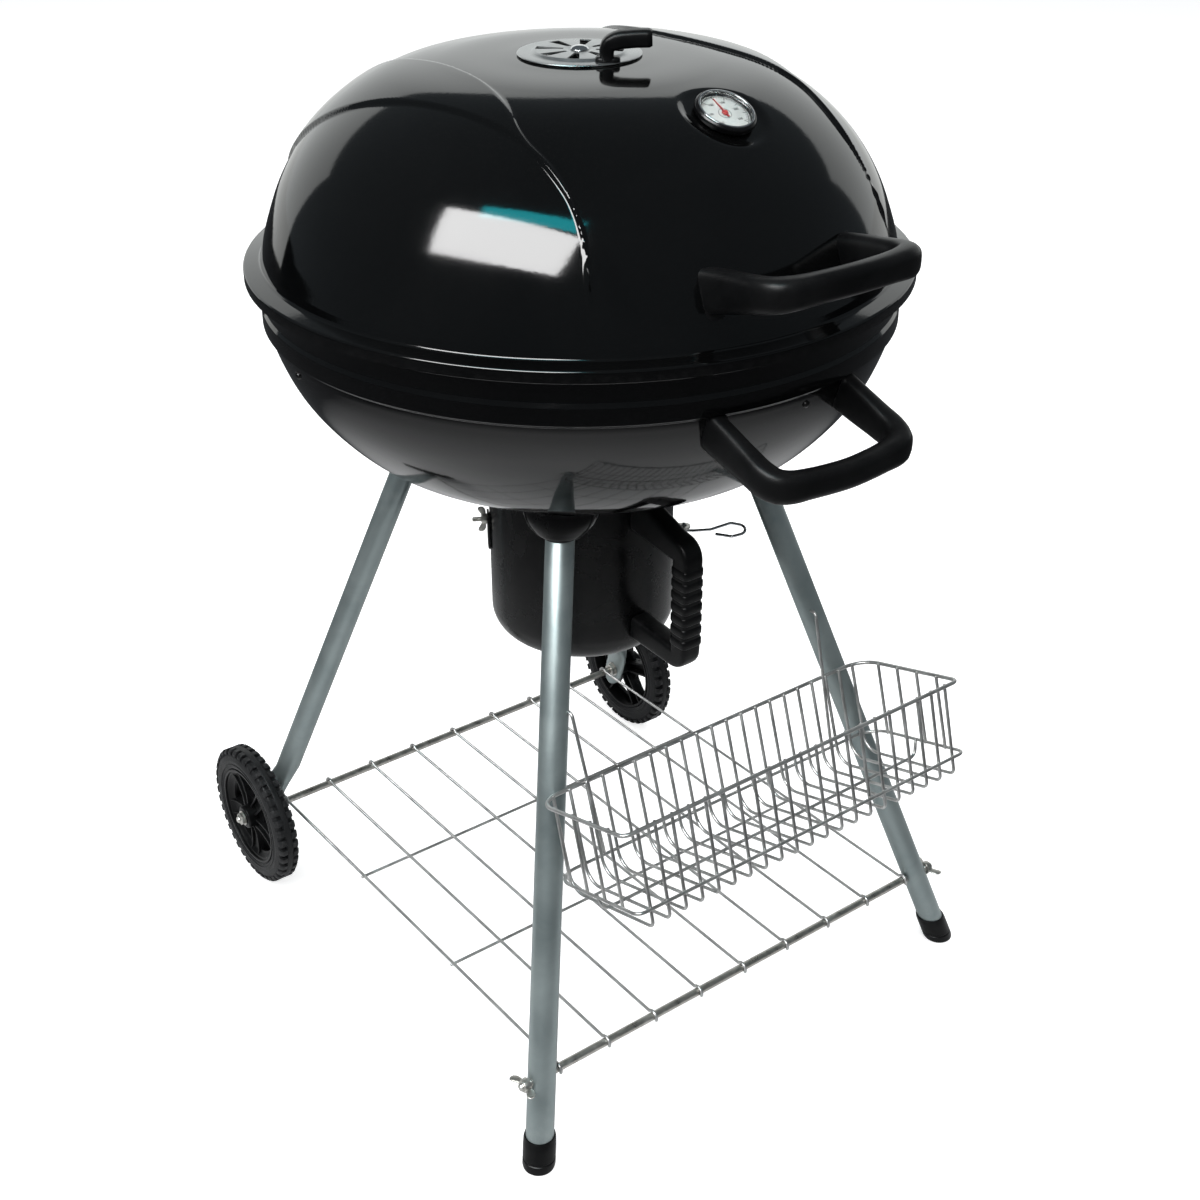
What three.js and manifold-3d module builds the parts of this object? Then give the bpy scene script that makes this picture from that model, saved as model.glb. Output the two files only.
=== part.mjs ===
// Kettle charcoal grill: lidded bowl on four splayed tube legs, with a wire shelf, two wheels,
// a hanging wire basket and a removable ash pot. Millimetres, +Z up, front faces -Y,
// origin on the floor under the middle of the bowl.
import * as THREE from "three";
import { mergeVertices } from "three/addons/utils/BufferGeometryUtils.js";
import Module from "manifold-3d";

const wasm = await Module();
wasm.setup();

// ---- driving dimensions -------------------------------------------------------------
const GAP = 0.3; // air left between pieces that touch
const SHEET = 1.4; // pressed steel of bowl, lid and pot
const SEGMENTS = 36; // round steps of the large pressings

// lid, outside profile as radius and height
const LID_TOP = 918;
const LID_PROFILE = [
  [301, 738.5], [301, 746.5], [299, 749], [290, 751], [285, 757], [277.5, 781], [262, 819],
  [239, 853], [206, 883], [164, 905.5], [124, 914], [66, 917.3], [0, LID_TOP],
];
const FLANGE_UNDERSIDE = 746.6;

// bowl, outside profile from the bottom up
const BOWL_BOTTOM = 549;
const BOWL_PROFILE = [
  [0, BOWL_BOTTOM], [84, 550.5], [138, 556.5], [178, 567], [212, 584], [243, 613], [264, 642],
  [279, 676], [284.5, 694], [288.5, 698], [288.5, 712], [286.5, 718], [287, 734], [295, 736],
  [296.5, 741], [294, 746],
];
const BOWL_LIP = 284; // inside radius of the rolled rim

// damper on top of the lid
const DAMPER_RADIUS = 54;
const DAMPER_SLOTS = 8;
const DAMPER_SLOT_IN = 14;
const DAMPER_SLOT_OUT = 38;

// thermometer in the front of the lid
const THERMO_X = 14;
const THERMO_Y = -175;
const THERMO_Z = 900.2;
const THERMO_TILT = 26; // degrees, leaning forward with the lid
const THERMO_RADIUS = 26;

// carrying handles on lid and bowl
const HANDLE_HALF = 72; // half the spread of the two arms
const HANDLE_REACH = 84; // from the wall to the middle of the grip
const LID_HANDLE_Z = 795;
const LID_HANDLE_RISE = 18;
const BOWL_HANDLE_Z = 680;
const BOWL_HANDLE_RISE = -25;

// legs
const LEG_RADIUS = 12.7;
const LEG_BORE = 11.2;
const LEG_FOOT_X = 265.5;
const LEG_FOOT_Y = 284.5;
const LEG_SLOPE_X = 0.27985; // inward run per unit of height
const LEG_SLOPE_Y = 0.30224;
const LEG_TOP = 553;

// running gear and shelf
const AXLE_Z = 79;
const AXLE_RADIUS = 4;
const WHEEL_RADIUS = 79;
const WHEEL_INNER = 250;
const WHEEL_OUTER = 275;
const WHEEL_LUGS = 24;
const SHELF_PITCH = 56.4;
const SHELF_WIRE = 1.6;

// hanging basket, in its own leaning frame
const BASKET_HALF = 200;
const BASKET_WIDTH = 130;
const BASKET_DEPTH = 91;
const BASKET_LOOP = 73;
const BASKET_WIRE = 1.6;
const BASKET_RIM_WIRE = 1.9;
const BASKET_RIM_Y = -199.6;
const BASKET_RIM_Z = 332.7;
const HANGER_X = 148;
const HANGER_RISE = 66; // rim to the hook

// ash pot, its collar and the bottom vent
const POT_RADIUS = 91;
const POT_BOTTOM = 356;
const POT_TOP = 545;
const COLLAR_RADIUS = POT_RADIUS - SHEET - GAP;
const COLLAR_BOTTOM = 452;
const LEVER_Z = 466;
const LEVER_AZIMUTH = -40;
const LEVER_SWING = 20;
const CLIP_Z = 478;
const CLIP_AZIMUTHS = { left: 150, right: 30 };

// grates
const COOK_GRATE_RADIUS = 264;
const COOK_GRATE_Z = 724;
const COAL_GRATE_RADIUS = 203;
const COAL_GRATE_Z = 587;

// ---- finishes -----------------------------------------------------------------------
const FINISH = {
  enamel: [0x08090a, 0.08, 0.0],
  plastic: [0x0c0c0d, 0.45, 0.0],
  tyre: [0x121314, 0.7, 0.0],
  legPaint: [0x9aa5a6, 0.4, 0.3],
  wire: [0x9a9d9d, 0.35, 0.9],
  chrome: [0xc8cacb, 0.15, 1.0],
  zinc: [0xa9acab, 0.4, 0.9],
  aluminium: [0xb4b8b8, 0.35, 0.9],
  dial: [0xe9e9e4, 0.6, 0.0],
  glass: [0xf2f6f6, 0.05, 0.0],
  needle: [0xb01818, 0.5, 0.0],
  blackSteel: [0x111212, 0.5, 0.2],
};

function material(kind) {
  const [color, roughness, metalness] = FINISH[kind];
  return new THREE.MeshStandardMaterial({ color, roughness, metalness });
}

// ---- solids -------------------------------------------------------------------------
const V = (x, y, z) => new THREE.Vector3(x, y, z);
const rad = THREE.MathUtils.degToRad;

// A closed solid from any closed three.js geometry.
function solid(geometry) {
  geometry.deleteAttribute("normal");
  geometry.deleteAttribute("uv");
  const merged = mergeVertices(geometry, 1e-4);
  const index = merged.index.array;
  const kept = [];
  for (let i = 0; i < index.length; i += 3) {
    const [a, b, c] = [index[i], index[i + 1], index[i + 2]];
    if (a !== b && b !== c && c !== a) kept.push(a, b, c);
  }
  const mesh = new wasm.Mesh({
    numProp: 3,
    vertProperties: new Float32Array(merged.attributes.position.array),
    triVerts: new Uint32Array(kept),
  });
  return new wasm.Manifold(mesh);
}

// Back from a solid to a three.js geometry.
function shape(manifold) {
  const mesh = manifold.getMesh();
  const geometry = new THREE.BufferGeometry();
  geometry.setAttribute("position", new THREE.BufferAttribute(mesh.vertProperties, 3));
  geometry.setIndex(new THREE.BufferAttribute(mesh.triVerts, 1));
  geometry.computeVertexNormals();
  return geometry;
}

function union(parts) {
  return parts.reduce((sum, next) => sum.add(next));
}

function cut(body, tools) {
  return tools.reduce((rest, tool) => rest.subtract(tool), body);
}

// Solid of revolution about Z; the profile is [radius, height] and runs from axis to axis or closes.
function revolve(profile, segments = SEGMENTS) {
  const points = profile.map(([r, z]) => new THREE.Vector2(r, z));
  const area = points.reduce((sum, p, i) => {
    const q = points[(i + 1) % points.length];
    return sum + p.x * q.y - q.x * p.y;
  }, 0);
  if (area < 0) points.reverse();
  const geometry = new THREE.LatheGeometry(points, segments);
  geometry.rotateX(Math.PI / 2);
  return solid(geometry);
}

// Closed ring profile, repeated first point included.
function ring(profile, segments = SEGMENTS) {
  return revolve([...profile, profile[0]], segments);
}

function box(width, depth, height, at = V(0, 0, 0), turn = null) {
  const geometry = new THREE.BoxGeometry(width, depth, height);
  if (turn) geometry.applyQuaternion(turn);
  geometry.translate(at.x, at.y, at.z);
  return solid(geometry);
}

// Round bar from one point to another.
function bar(from, to, radius, sides = 16, endRadius = radius) {
  const span = to.clone().sub(from);
  const geometry = new THREE.CylinderGeometry(endRadius, radius, span.length(), sides);
  geometry.applyQuaternion(new THREE.Quaternion().setFromUnitVectors(V(0, 1, 0), span.normalize()));
  const middle = from.clone().add(to).multiplyScalar(0.5);
  geometry.translate(middle.x, middle.y, middle.z);
  return solid(geometry);
}

// Skin joining equal rings of points, capped at both ends or closed on itself.
function loft(rings, closed = false) {
  const count = rings[0].length;
  const positions = rings.flat().flatMap((p) => [p.x, p.y, p.z]);
  const index = [];
  const steps = closed ? rings.length : rings.length - 1;
  for (let i = 0; i < steps; i += 1) {
    const here = i * count;
    const next = ((i + 1) % rings.length) * count;
    for (let j = 0; j < count; j += 1) {
      const k = (j + 1) % count;
      index.push(here + j, here + k, next + k, here + j, next + k, next + j);
    }
  }
  if (!closed) {
    const last = (rings.length - 1) * count;
    for (let j = 1; j < count - 1; j += 1) {
      index.push(0, j + 1, j, last, last + j, last + j + 1);
    }
  }
  const geometry = new THREE.BufferGeometry();
  geometry.setAttribute("position", new THREE.Float32BufferAttribute(positions, 3));
  geometry.setIndex(index);
  const body = solid(geometry);
  return body.volume() < 0 ? solid(flipped(geometry)) : body;
}

function flipped(geometry) {
  const index = geometry.index.array;
  for (let i = 0; i < index.length; i += 3) {
    [index[i], index[i + 1]] = [index[i + 1], index[i]];
  }
  return geometry;
}

// Oval section carried along a path; up sets which way the tall radius points.
function sweep(path, wide, tall, up, sides = 6, closed = false) {
  const size = (value, i) => (Array.isArray(value) ? value[i] : value);
  const rings = path.map((p, i) => {
    const before = closed ? path[(i + path.length - 1) % path.length] : path[Math.max(i - 1, 0)];
    const after = closed ? path[(i + 1) % path.length] : path[Math.min(i + 1, path.length - 1)];
    const along = p.clone().sub(before).normalize().add(after.clone().sub(p).normalize()).normalize();
    const side = along.clone().cross(up).normalize();
    const lift = side.clone().cross(along).normalize();
    const points = [];
    for (let j = 0; j < sides; j += 1) {
      const angle = (2 * Math.PI * (j + 0.5)) / sides;
      const out = side.clone().multiplyScalar(size(wide, i) * Math.cos(angle));
      points.push(p.clone().add(out).add(lift.clone().multiplyScalar(size(tall, i) * Math.sin(angle))));
    }
    return points;
  });
  return loft(rings, closed);
}

// Corner points of a path replaced by short arcs.
function rounded(points, radius, steps = 3, closed = false) {
  const path = [];
  points.forEach((p, i) => {
    const inner = closed || (i > 0 && i < points.length - 1);
    if (!inner) {
      path.push(p);
      return;
    }
    const r = Array.isArray(radius) ? radius[i] : radius;
    const before = points[(i + points.length - 1) % points.length];
    const after = points[(i + 1) % points.length];
    const a = p.clone().add(before.clone().sub(p).setLength(r));
    const b = p.clone().add(after.clone().sub(p).setLength(r));
    const curve = new THREE.QuadraticBezierCurve3(a, p, b);
    path.push(...curve.getPoints(steps));
  });
  return path;
}

// Flat outline raised along Z.
function raise(outline, height, holes = []) {
  const flat = new THREE.Shape(outline.map(([x, y]) => new THREE.Vector2(x, y)));
  flat.holes = holes.map((hole) => new THREE.Path(hole.map(([x, y]) => new THREE.Vector2(x, y))));
  return solid(new THREE.ExtrudeGeometry(flat, { depth: height, bevelEnabled: false }));
}

// Outline of a slice of a ring between two azimuths in degrees.
function sector(inner, outer, from, to, steps = 5) {
  const arc = (r, a, b) => Array.from({ length: steps + 1 }, (_, i) => {
    const angle = rad(a + ((b - a) * i) / steps);
    return [r * Math.cos(angle), r * Math.sin(angle)];
  });
  return [...arc(outer, from, to), ...arc(inner, to, from)];
}

function polar(radius, azimuth, z = 0) {
  return V(radius * Math.cos(rad(azimuth)), radius * Math.sin(rad(azimuth)), z);
}

// ---- the assembly -------------------------------------------------------------------
const grill = new THREE.Group();
grill.name = "kettle_grill";

function add(parent, name, body, finish) {
  const mesh = new THREE.Mesh(shape(body), material(finish));
  mesh.name = name;
  parent.add(mesh);
  return mesh;
}

function group(parent, name) {
  const item = new THREE.Group();
  item.name = name;
  parent.add(item);
  return item;
}

// Inside copy of an outside profile, moved in by the sheet thickness.
function inset(profile, thickness) {
  return profile.map(([r, z], i) => {
    const [ra, za] = profile[Math.max(i - 1, 0)];
    const [rb, zb] = profile[Math.min(i + 1, profile.length - 1)];
    const length = Math.hypot(rb - ra, zb - za);
    const nr = (zb - za) / length;
    const nz = -(rb - ra) / length;
    return [r === 0 ? 0 : Math.max(r - nr * thickness, 0), z - nz * thickness];
  });
}

// Filled body of a pressing grown by the working gap, used to trim what sits against it.
const lidWall = LID_PROFILE.slice(4);
const lidFilled = revolve([[0, 740], [LID_PROFILE[0][0] + GAP, 740], ...inset(LID_PROFILE.slice(1), -GAP)]);
const bowlFilled = revolve([...inset(BOWL_PROFILE, -GAP), [0, 746]]);

// -- lid
const lid = group(grill, "lid");
const lidInside = inset(lidWall, SHEET).reverse();
const lidShell = ring([
  ...LID_PROFILE.slice(0, -1),
  [8, LID_TOP - 0.3],
  [8, LID_TOP - 0.3 - SHEET],
  ...lidInside.slice(1, -1),
  [283, 752.5],
  [289, 748.6],
  [297.5, FLANGE_UNDERSIDE + GAP],
  [299, 744],
  [299, 738.5],
]);

const thermoTurn = new THREE.Quaternion().setFromAxisAngle(V(1, 0, 0), rad(THERMO_TILT));
const thermoAt = V(THERMO_X, THERMO_Y, THERMO_Z);
const thermoAxis = V(0, 0, 1).applyQuaternion(thermoTurn);
const thermoPoint = (height) => thermoAt.clone().addScaledVector(thermoAxis, height);

const lidVents = [];
for (let i = 0; i < DAMPER_SLOTS; i += 1) {
  const middle = (360 * i) / DAMPER_SLOTS;
  const slot = raise(sector(DAMPER_SLOT_IN + 4, DAMPER_SLOT_OUT - 2, middle - 9, middle + 9, 1), 40);
  lidVents.push(slot.translate([0, 0, LID_TOP - 25]));
}
const lidHandleBolts = [-1, 1].map((side) => ({
  from: V(side * HANDLE_HALF, -252, LID_HANDLE_Z),
  to: V(side * HANDLE_HALF, -292, LID_HANDLE_Z),
}));
add(lid, "lid_shell", cut(lidShell, [
  ...lidVents,
  bar(thermoPoint(-20), thermoPoint(20), 4 + GAP, 16),
  ...lidHandleBolts.map((bolt) => bar(bolt.from, bolt.to, 3 + GAP, 12)),
]), "enamel");

// D-shaped handle: two tall oval arms and a slimmer bowed grip.
function handle(wallY, z, rise) {
  const arm = HANDLE_HALF;
  const out = (reach) => wallY - reach;
  const lift = (reach) => z + (rise * reach) / HANDLE_REACH;
  const stops = [
    [-arm, -14, 7.5, 15], [-arm, 8, 7.5, 15], [-arm, 46, 8.5, 14], [-arm + 2, 66, 10, 12.5],
    [-arm + 12, 78, 10.5, 11], [-arm + 34, 83, 9, 10], [0, HANDLE_REACH, 9, 10],
  ];
  const all = [...stops, ...stops.slice(0, -1).reverse().map(([x, ...rest]) => [-x, ...rest])];
  const path = all.map(([x, reach]) => V(x, out(reach), lift(reach)));
  return sweep(path, all.map((s) => s[2]), all.map((s) => s[3]), V(0, 0, 1), 12);
}

function handleBolt(from, to) {
  const head = from.clone().lerp(to, -0.12);
  return bar(from, to, 3, 12).add(bar(head, from.clone().lerp(to, 0.05), 7, 12));
}

add(lid, "lid_handle", cut(handle(-262, LID_HANDLE_Z, LID_HANDLE_RISE).subtract(lidFilled), [
  ...lidHandleBolts.map((bolt) => bar(bolt.from, bolt.to.clone().add(V(0, -1, 0)), 3 + GAP, 12)),
]), "plastic");
lidHandleBolts.forEach((bolt, i) => {
  add(lid, `lid_handle_bolt_${i ? "right" : "left"}`, handleBolt(bolt.from, bolt.to), "zinc");
});

// damper disc with its bent tab, turning on a rivet
const damper = group(lid, "damper");
const discBottom = LID_TOP + GAP;
const discProfile = [
  [5, discBottom], [DAMPER_RADIUS, discBottom], [DAMPER_RADIUS, discBottom + 2],
  [42, discBottom + 2.3], [39.5, discBottom + 3.6], [12, discBottom + 3.6], [10, discBottom + 3],
  [5, discBottom + 3],
];
const discSlots = [];
for (let i = 0; i < DAMPER_SLOTS; i += 1) {
  const middle = (360 * i) / DAMPER_SLOTS;
  const slot = raise(sector(DAMPER_SLOT_IN, DAMPER_SLOT_OUT, middle - 8, middle + 8, 1), 20);
  discSlots.push(slot.translate([0, 0, LID_TOP - 8]));
}
const tabRoot = polar(45, -95, discBottom + 2);
add(damper, "damper_disc", cut(ring(discProfile, 32), [
  ...discSlots,
  bar(tabRoot.clone().setZ(LID_TOP - 6), tabRoot.clone().setZ(LID_TOP + 12), 2.5 + GAP, 12),
]), "aluminium");

const tabPath = rounded([
  tabRoot.clone().add(V(0, 0, 0.8)),
  tabRoot.clone().add(V(0, 0, 15)),
  tabRoot.clone().add(polar(38, -38, 20)),
], 7, 3);
const tab = sweep(tabPath, 7.5, 6, V(0.2, 0.9, 0.4).normalize(), 8)
  .add(box(20, 12, 3, tabRoot.clone().add(V(0, 0, 2.2 + GAP))))
  .add(bar(tabRoot.clone().setZ(discBottom - 0.2), tabRoot.clone().setZ(discBottom + 4), 2.5, 12));
const tabSeat = ring(discProfile.map(([r, z]) => [r === 5 ? 4.5 : r, z + (z > discBottom + 1 ? GAP : 0)]));
const seatHole = bar(tabRoot.clone().setZ(LID_TOP - 6), tabRoot.clone().setZ(LID_TOP + 12), 2.5 + GAP, 12);
add(damper, "damper_knob", tab.subtract(tabSeat.subtract(seatHole)), "plastic");
add(lid, "damper_rivet", revolve([
  [0, LID_TOP - 6], [8.5, LID_TOP - 6], [8.5, LID_TOP - 3], [4.5, LID_TOP - 3],
  [4.5, discBottom + 3 + GAP], [8.5, discBottom + 3 + GAP], [7, discBottom + 5.5], [0, discBottom + 6.5],
], 20), "aluminium");

// thermometer: case, dial, glass, pointer, stem and nut, built upright and then leaned
function leaned(body) {
  const turn = new THREE.Matrix4().makeRotationFromQuaternion(thermoTurn).setPosition(thermoAt);
  return body.transform(turn.elements);
}
const thermometer = group(lid, "thermometer");
add(thermometer, "thermometer_case", leaned(ring([
  [4.6, 3], [THERMO_RADIUS - 3, 3], [THERMO_RADIUS, 5], [THERMO_RADIUS, 11], [THERMO_RADIUS - 2, 12.5],
  [THERMO_RADIUS - 4, 12.5], [THERMO_RADIUS - 4, 6], [4.6, 6],
], 32)), "chrome");
add(thermometer, "thermometer_dial", leaned(ring([
  [1.5, 6 + GAP], [21.5, 6 + GAP], [21.5, 7.3], [1.5, 7.3],
], 32)), "dial");
add(thermometer, "thermometer_glass", leaned(revolve([
  [0, 10.4], [21.6, 10.4], [21.6, 11.8], [12, 12.2], [0, 12.4],
], 32)), "glass");
add(thermometer, "thermometer_needle", leaned(union([
  revolve([[0, 7.6], [2.6, 7.6], [2.6, 9], [0, 9.2]], 12),
  box(1.6, 18, 0.8, V(0, 8, 8.2)),
])), "needle");
add(thermometer, "thermometer_stem", leaned(revolve([
  [0, -70], [2.2, -68], [2.2, -14], [4, -12], [4, 5.4], [1.2, 5.6], [1.2, 7.2], [0, 7.2],
], 16)), "chrome");
add(thermometer, "thermometer_nut", leaned(
  bar(V(0, 0, -10.2), V(0, 0, -5.6), 8, 6).subtract(bar(V(0, 0, -12), V(0, 0, 0), 4 + GAP, 16)),
), "zinc");

// -- bowl
const bowl = group(grill, "bowl");
const bowlInside = inset(BOWL_PROFILE.slice(0, 13), SHEET).reverse();
const bowlShell = ring([
  [6, BOWL_BOTTOM + 0.1],
  ...BOWL_PROFILE.slice(1),
  [288, FLANGE_UNDERSIDE],
  [BOWL_LIP, 745],
  ...bowlInside.slice(0, -1),
  [6, BOWL_BOTTOM + 0.1 + SHEET],
]);
const bowlHandleBolts = [-1, 1].map((side) => ({
  from: V(side * HANDLE_HALF, -258, BOWL_HANDLE_Z),
  to: V(side * HANDLE_HALF, -300, BOWL_HANDLE_Z),
}));
const ashSlots = [0, 1, 2].map((i) => (
  raise(sector(24, 76, 120 * i - 20, 120 * i + 20, 3), 30).translate([0, 0, BOWL_BOTTOM - 10])
));
add(bowl, "bowl_shell", cut(bowlShell, [
  ...ashSlots,
  ...bowlHandleBolts.map((bolt) => bar(bolt.from, bolt.to, 3 + GAP, 12)),
]), "enamel");
add(bowl, "bowl_handle", cut(handle(-271, BOWL_HANDLE_Z, BOWL_HANDLE_RISE).subtract(bowlFilled), [
  ...bowlHandleBolts.map((bolt) => bar(bolt.from, bolt.to.clone().add(V(0, -1, 0)), 3 + GAP, 12)),
]), "plastic");
bowlHandleBolts.forEach((bolt, i) => {
  add(bowl, `bowl_handle_bolt_${i ? "right" : "left"}`, handleBolt(bolt.from, bolt.to), "zinc");
});

// -- the basket's own frame: along the legs, out from their front faces
const lean = Math.atan(LEG_SLOPE_Y);
function basketPoint(x, out, up) {
  const y = BASKET_RIM_Y - out * Math.cos(lean) + up * Math.sin(lean);
  const z = BASKET_RIM_Z + out * Math.sin(lean) + up * Math.cos(lean);
  return V(x, y, z);
}

// -- legs, sockets and feet
const CORNERS = [
  ["front_left", -1, -1], ["front_right", 1, -1], ["rear_left", -1, 1], ["rear_right", 1, 1],
];
function legPoint(sx, sy, z) {
  return V(sx * (LEG_FOOT_X - LEG_SLOPE_X * z), sy * (LEG_FOOT_Y - LEG_SLOPE_Y * z), z);
}
function below(z, size = 700) {
  return box(size, size, 200, V(0, 0, z - 100));
}
function above(z, size = 700) {
  return box(size, size, 200, V(0, 0, z + 100));
}

// Ring of points across a leg: a circle high up, pressed flat near the axle.
function legRing(sx, sy, z, thick, wide, sides = 16) {
  const centre = legPoint(sx, sy, z);
  return Array.from({ length: sides }, (_, i) => {
    const angle = (2 * Math.PI * i) / sides;
    return centre.clone().add(V(thick * Math.cos(angle), wide * Math.sin(angle), 0));
  });
}
const axleY = LEG_FOOT_Y - LEG_SLOPE_Y * AXLE_Z;
const axleX = LEG_FOOT_X - LEG_SLOPE_X * AXLE_Z;

function frontLeg(sx) {
  const tube = bar(legPoint(sx, -1, -10), legPoint(sx, -1, 590), LEG_RADIUS, 16);
  const bore = bar(legPoint(sx, -1, -12), legPoint(sx, -1, 592), LEG_BORE, 16);
  const rod = bar(V(sx * 200, -axleY, AXLE_Z), V(sx * 290, -axleY, AXLE_Z), AXLE_RADIUS + GAP, 16);
  const hookZ = basketPoint(0, 1.6, HANGER_RISE).z;
  const hook = bar(V(sx * HANGER_X, -215, hookZ), V(sx * HANGER_X, -160, hookZ), BASKET_WIRE + 1.4, 10);
  return cut(tube, [bore, rod, hook, below(4), above(LEG_TOP)]);
}

// The rear legs end in a flattened, pointed tongue that carries the axle.
function rearLeg(sx) {
  const tongue = (z, wide) => legRing(1, 1, z, 2.6, wide).map((p) => (
    V(sx * (p.x - legPoint(1, 1, z).x + axleX), p.y, z)
  ));
  const tubeRings = [130, 590].map((z) => legRing(sx, 1, z, LEG_RADIUS * 1.04, LEG_RADIUS * 1.045));
  const rings = [
    tongue(54, 5), tongue(66, 15), tongue(98, 16), ...tubeRings,
  ].map((points) => (sx < 0 && points.length ? orderLike(points) : points));
  const bore = bar(legPoint(sx, 1, 136), legPoint(sx, 1, 592), LEG_BORE, 16);
  const rod = bar(V(sx * 200, axleY, AXLE_Z), V(sx * 290, axleY, AXLE_Z), AXLE_RADIUS + GAP, 16);
  return cut(loft(rings), [bore, rod, above(LEG_TOP)]);
}

// Same starting side and turning sense for every ring.
function orderLike(points) {
  const middle = points.reduce((sum, p) => sum.add(p), V(0, 0, 0)).divideScalar(points.length);
  return [...points].sort((a, b) => (
    Math.atan2(a.y - middle.y, a.x - middle.x) - Math.atan2(b.y - middle.y, b.x - middle.x)
  ));
}

// Flared black socket welded under the bowl, closed round the top of the leg.
function socket(sx, sy) {
  const flare = [[532, 16, 16], [545, 19, 18], [558, 27, 22], [590, 37, 28]];
  const rings = flare.map(([z, along, across]) => {
    const centre = legPoint(sx, sy, z);
    const radial = V(sx, sy, 0).normalize();
    const side = V(-sy, sx, 0).normalize();
    return Array.from({ length: 14 }, (_, i) => {
      const angle = (2 * Math.PI * i) / 14;
      return centre.clone()
        .addScaledVector(side, along * Math.cos(angle))
        .addScaledVector(radial, across * Math.sin(angle));
    });
  });
  const bore = bar(legPoint(sx, sy, 500), legPoint(sx, sy, 590), LEG_RADIUS + GAP + 0.6, 16)
    .subtract(above(LEG_TOP + GAP));
  return cut(loft(rings), [bore, bowlFilled]);
}

const stand = group(grill, "stand");
CORNERS.forEach(([name, sx, sy]) => {
  add(stand, `leg_socket_${name}`, socket(sx, sy), "blackSteel");
  add(stand, `leg_${name}`, sy < 0 ? frontLeg(sx) : rearLeg(sx), "legPaint");
});
[-1, 1].forEach((sx) => {
  const cup = bar(legPoint(sx, -1, -12), legPoint(sx, -1, 28), 15.4, 16);
  const seat = bar(legPoint(sx, -1, -12), legPoint(sx, -1, 60), LEG_RADIUS + GAP, 16);
  const name = sx < 0 ? "foot_cap_front_left" : "foot_cap_front_right";
  add(stand, name, cup.subtract(seat.subtract(below(4 - GAP))).subtract(below(0)), "plastic");
});

// -- cross bar, axle and their nuts
const alongX = (from, to, y, radius, sides = 16) => bar(V(from, y, AXLE_Z), V(to, y, AXLE_Z), radius, sides);
add(stand, "front_cross_bar", alongX(-268, 268, -axleY, AXLE_RADIUS), "zinc");
add(stand, "axle", alongX(-286, 286, axleY, AXLE_RADIUS), "zinc");

function wingNut(sx) {
  const start = 258.5;
  const boss = alongX(sx * start, sx * (start + 7), -axleY, 7, 12);
  const wing = (side) => box(3, 9, 12, V(sx * (start + 4.5), -axleY, AXLE_Z + side * 11), null);
  return boss.add(wing(1)).add(wing(-1)).subtract(alongX(240, 290, -axleY, AXLE_RADIUS + GAP, 16)
    .add(alongX(-290, -240, -axleY, AXLE_RADIUS + GAP, 16)));
}
function axleNut(from, to, sides, radius) {
  const bore = alongX(Math.min(from, to) - 5, Math.max(from, to) + 5, axleY, AXLE_RADIUS + GAP, 16);
  return alongX(from, to, axleY, radius, sides).subtract(bore);
}
[[-1, "left"], [1, "right"]].forEach(([sx, side]) => {
  add(stand, `cross_bar_wing_nut_${side}`, wingNut(sx), "zinc");
  add(stand, `axle_inner_nut_${side}`, axleNut(sx * 234, sx * 240.4, 6, 8), "zinc");
  add(stand, `axle_end_nut_${side}`, axleNut(sx * 278.8, sx * 284, 6, 7.5), "zinc");
});

// -- wheels
function wheelProfile(count, low, high) {
  const points = [];
  for (let i = 0; i < count; i += 1) {
    [[0, high], [0.5, high], [0.58, low], [0.92, low]].forEach(([step, r]) => {
      const angle = (2 * Math.PI * (i + step)) / count;
      points.push([r * Math.cos(angle), r * Math.sin(angle)]);
    });
  }
  return points;
}
function circle(radius, count) {
  return Array.from({ length: count }, (_, i) => {
    const angle = (2 * Math.PI * i) / count;
    return [radius * Math.cos(angle), radius * Math.sin(angle)];
  });
}
function upright(body, from) {
  const turn = new THREE.Matrix4().makeRotationY(Math.PI / 2).setPosition(from, axleY, AXLE_Z);
  return body.transform(turn.elements);
}
const wheelWidth = WHEEL_OUTER - WHEEL_INNER;
[[-1, "left"], [1, "right"]].forEach(([sx, side]) => {
  const wheel = group(grill, `wheel_${side}`);
  const start = sx > 0 ? WHEEL_INNER : -WHEEL_OUTER;
  const tyre = raise(wheelProfile(WHEEL_LUGS, WHEEL_RADIUS - 3.5, WHEEL_RADIUS), wheelWidth, [circle(56, 32)]);
  add(wheel, `tyre_${side}`, upright(tyre, start), "tyre");
  const windows = [0, 1, 2, 3, 4].map((i) => sector(22, 44, 72 * i - 24, 72 * i + 24, 2));
  const web = raise(circle(56 - GAP - 0.4, 32), wheelWidth - 12, windows).translate([0, 0, 6]);
  const boss = raise(circle(13, 16), wheelWidth + 6.4).translate([0, 0, -3.2]);
  const bore = raise(circle(AXLE_RADIUS + GAP, 16), wheelWidth + 20).translate([0, 0, -10]);
  add(wheel, `wheel_hub_${side}`, upright(web.add(boss).subtract(bore), start), "plastic");
});

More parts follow.
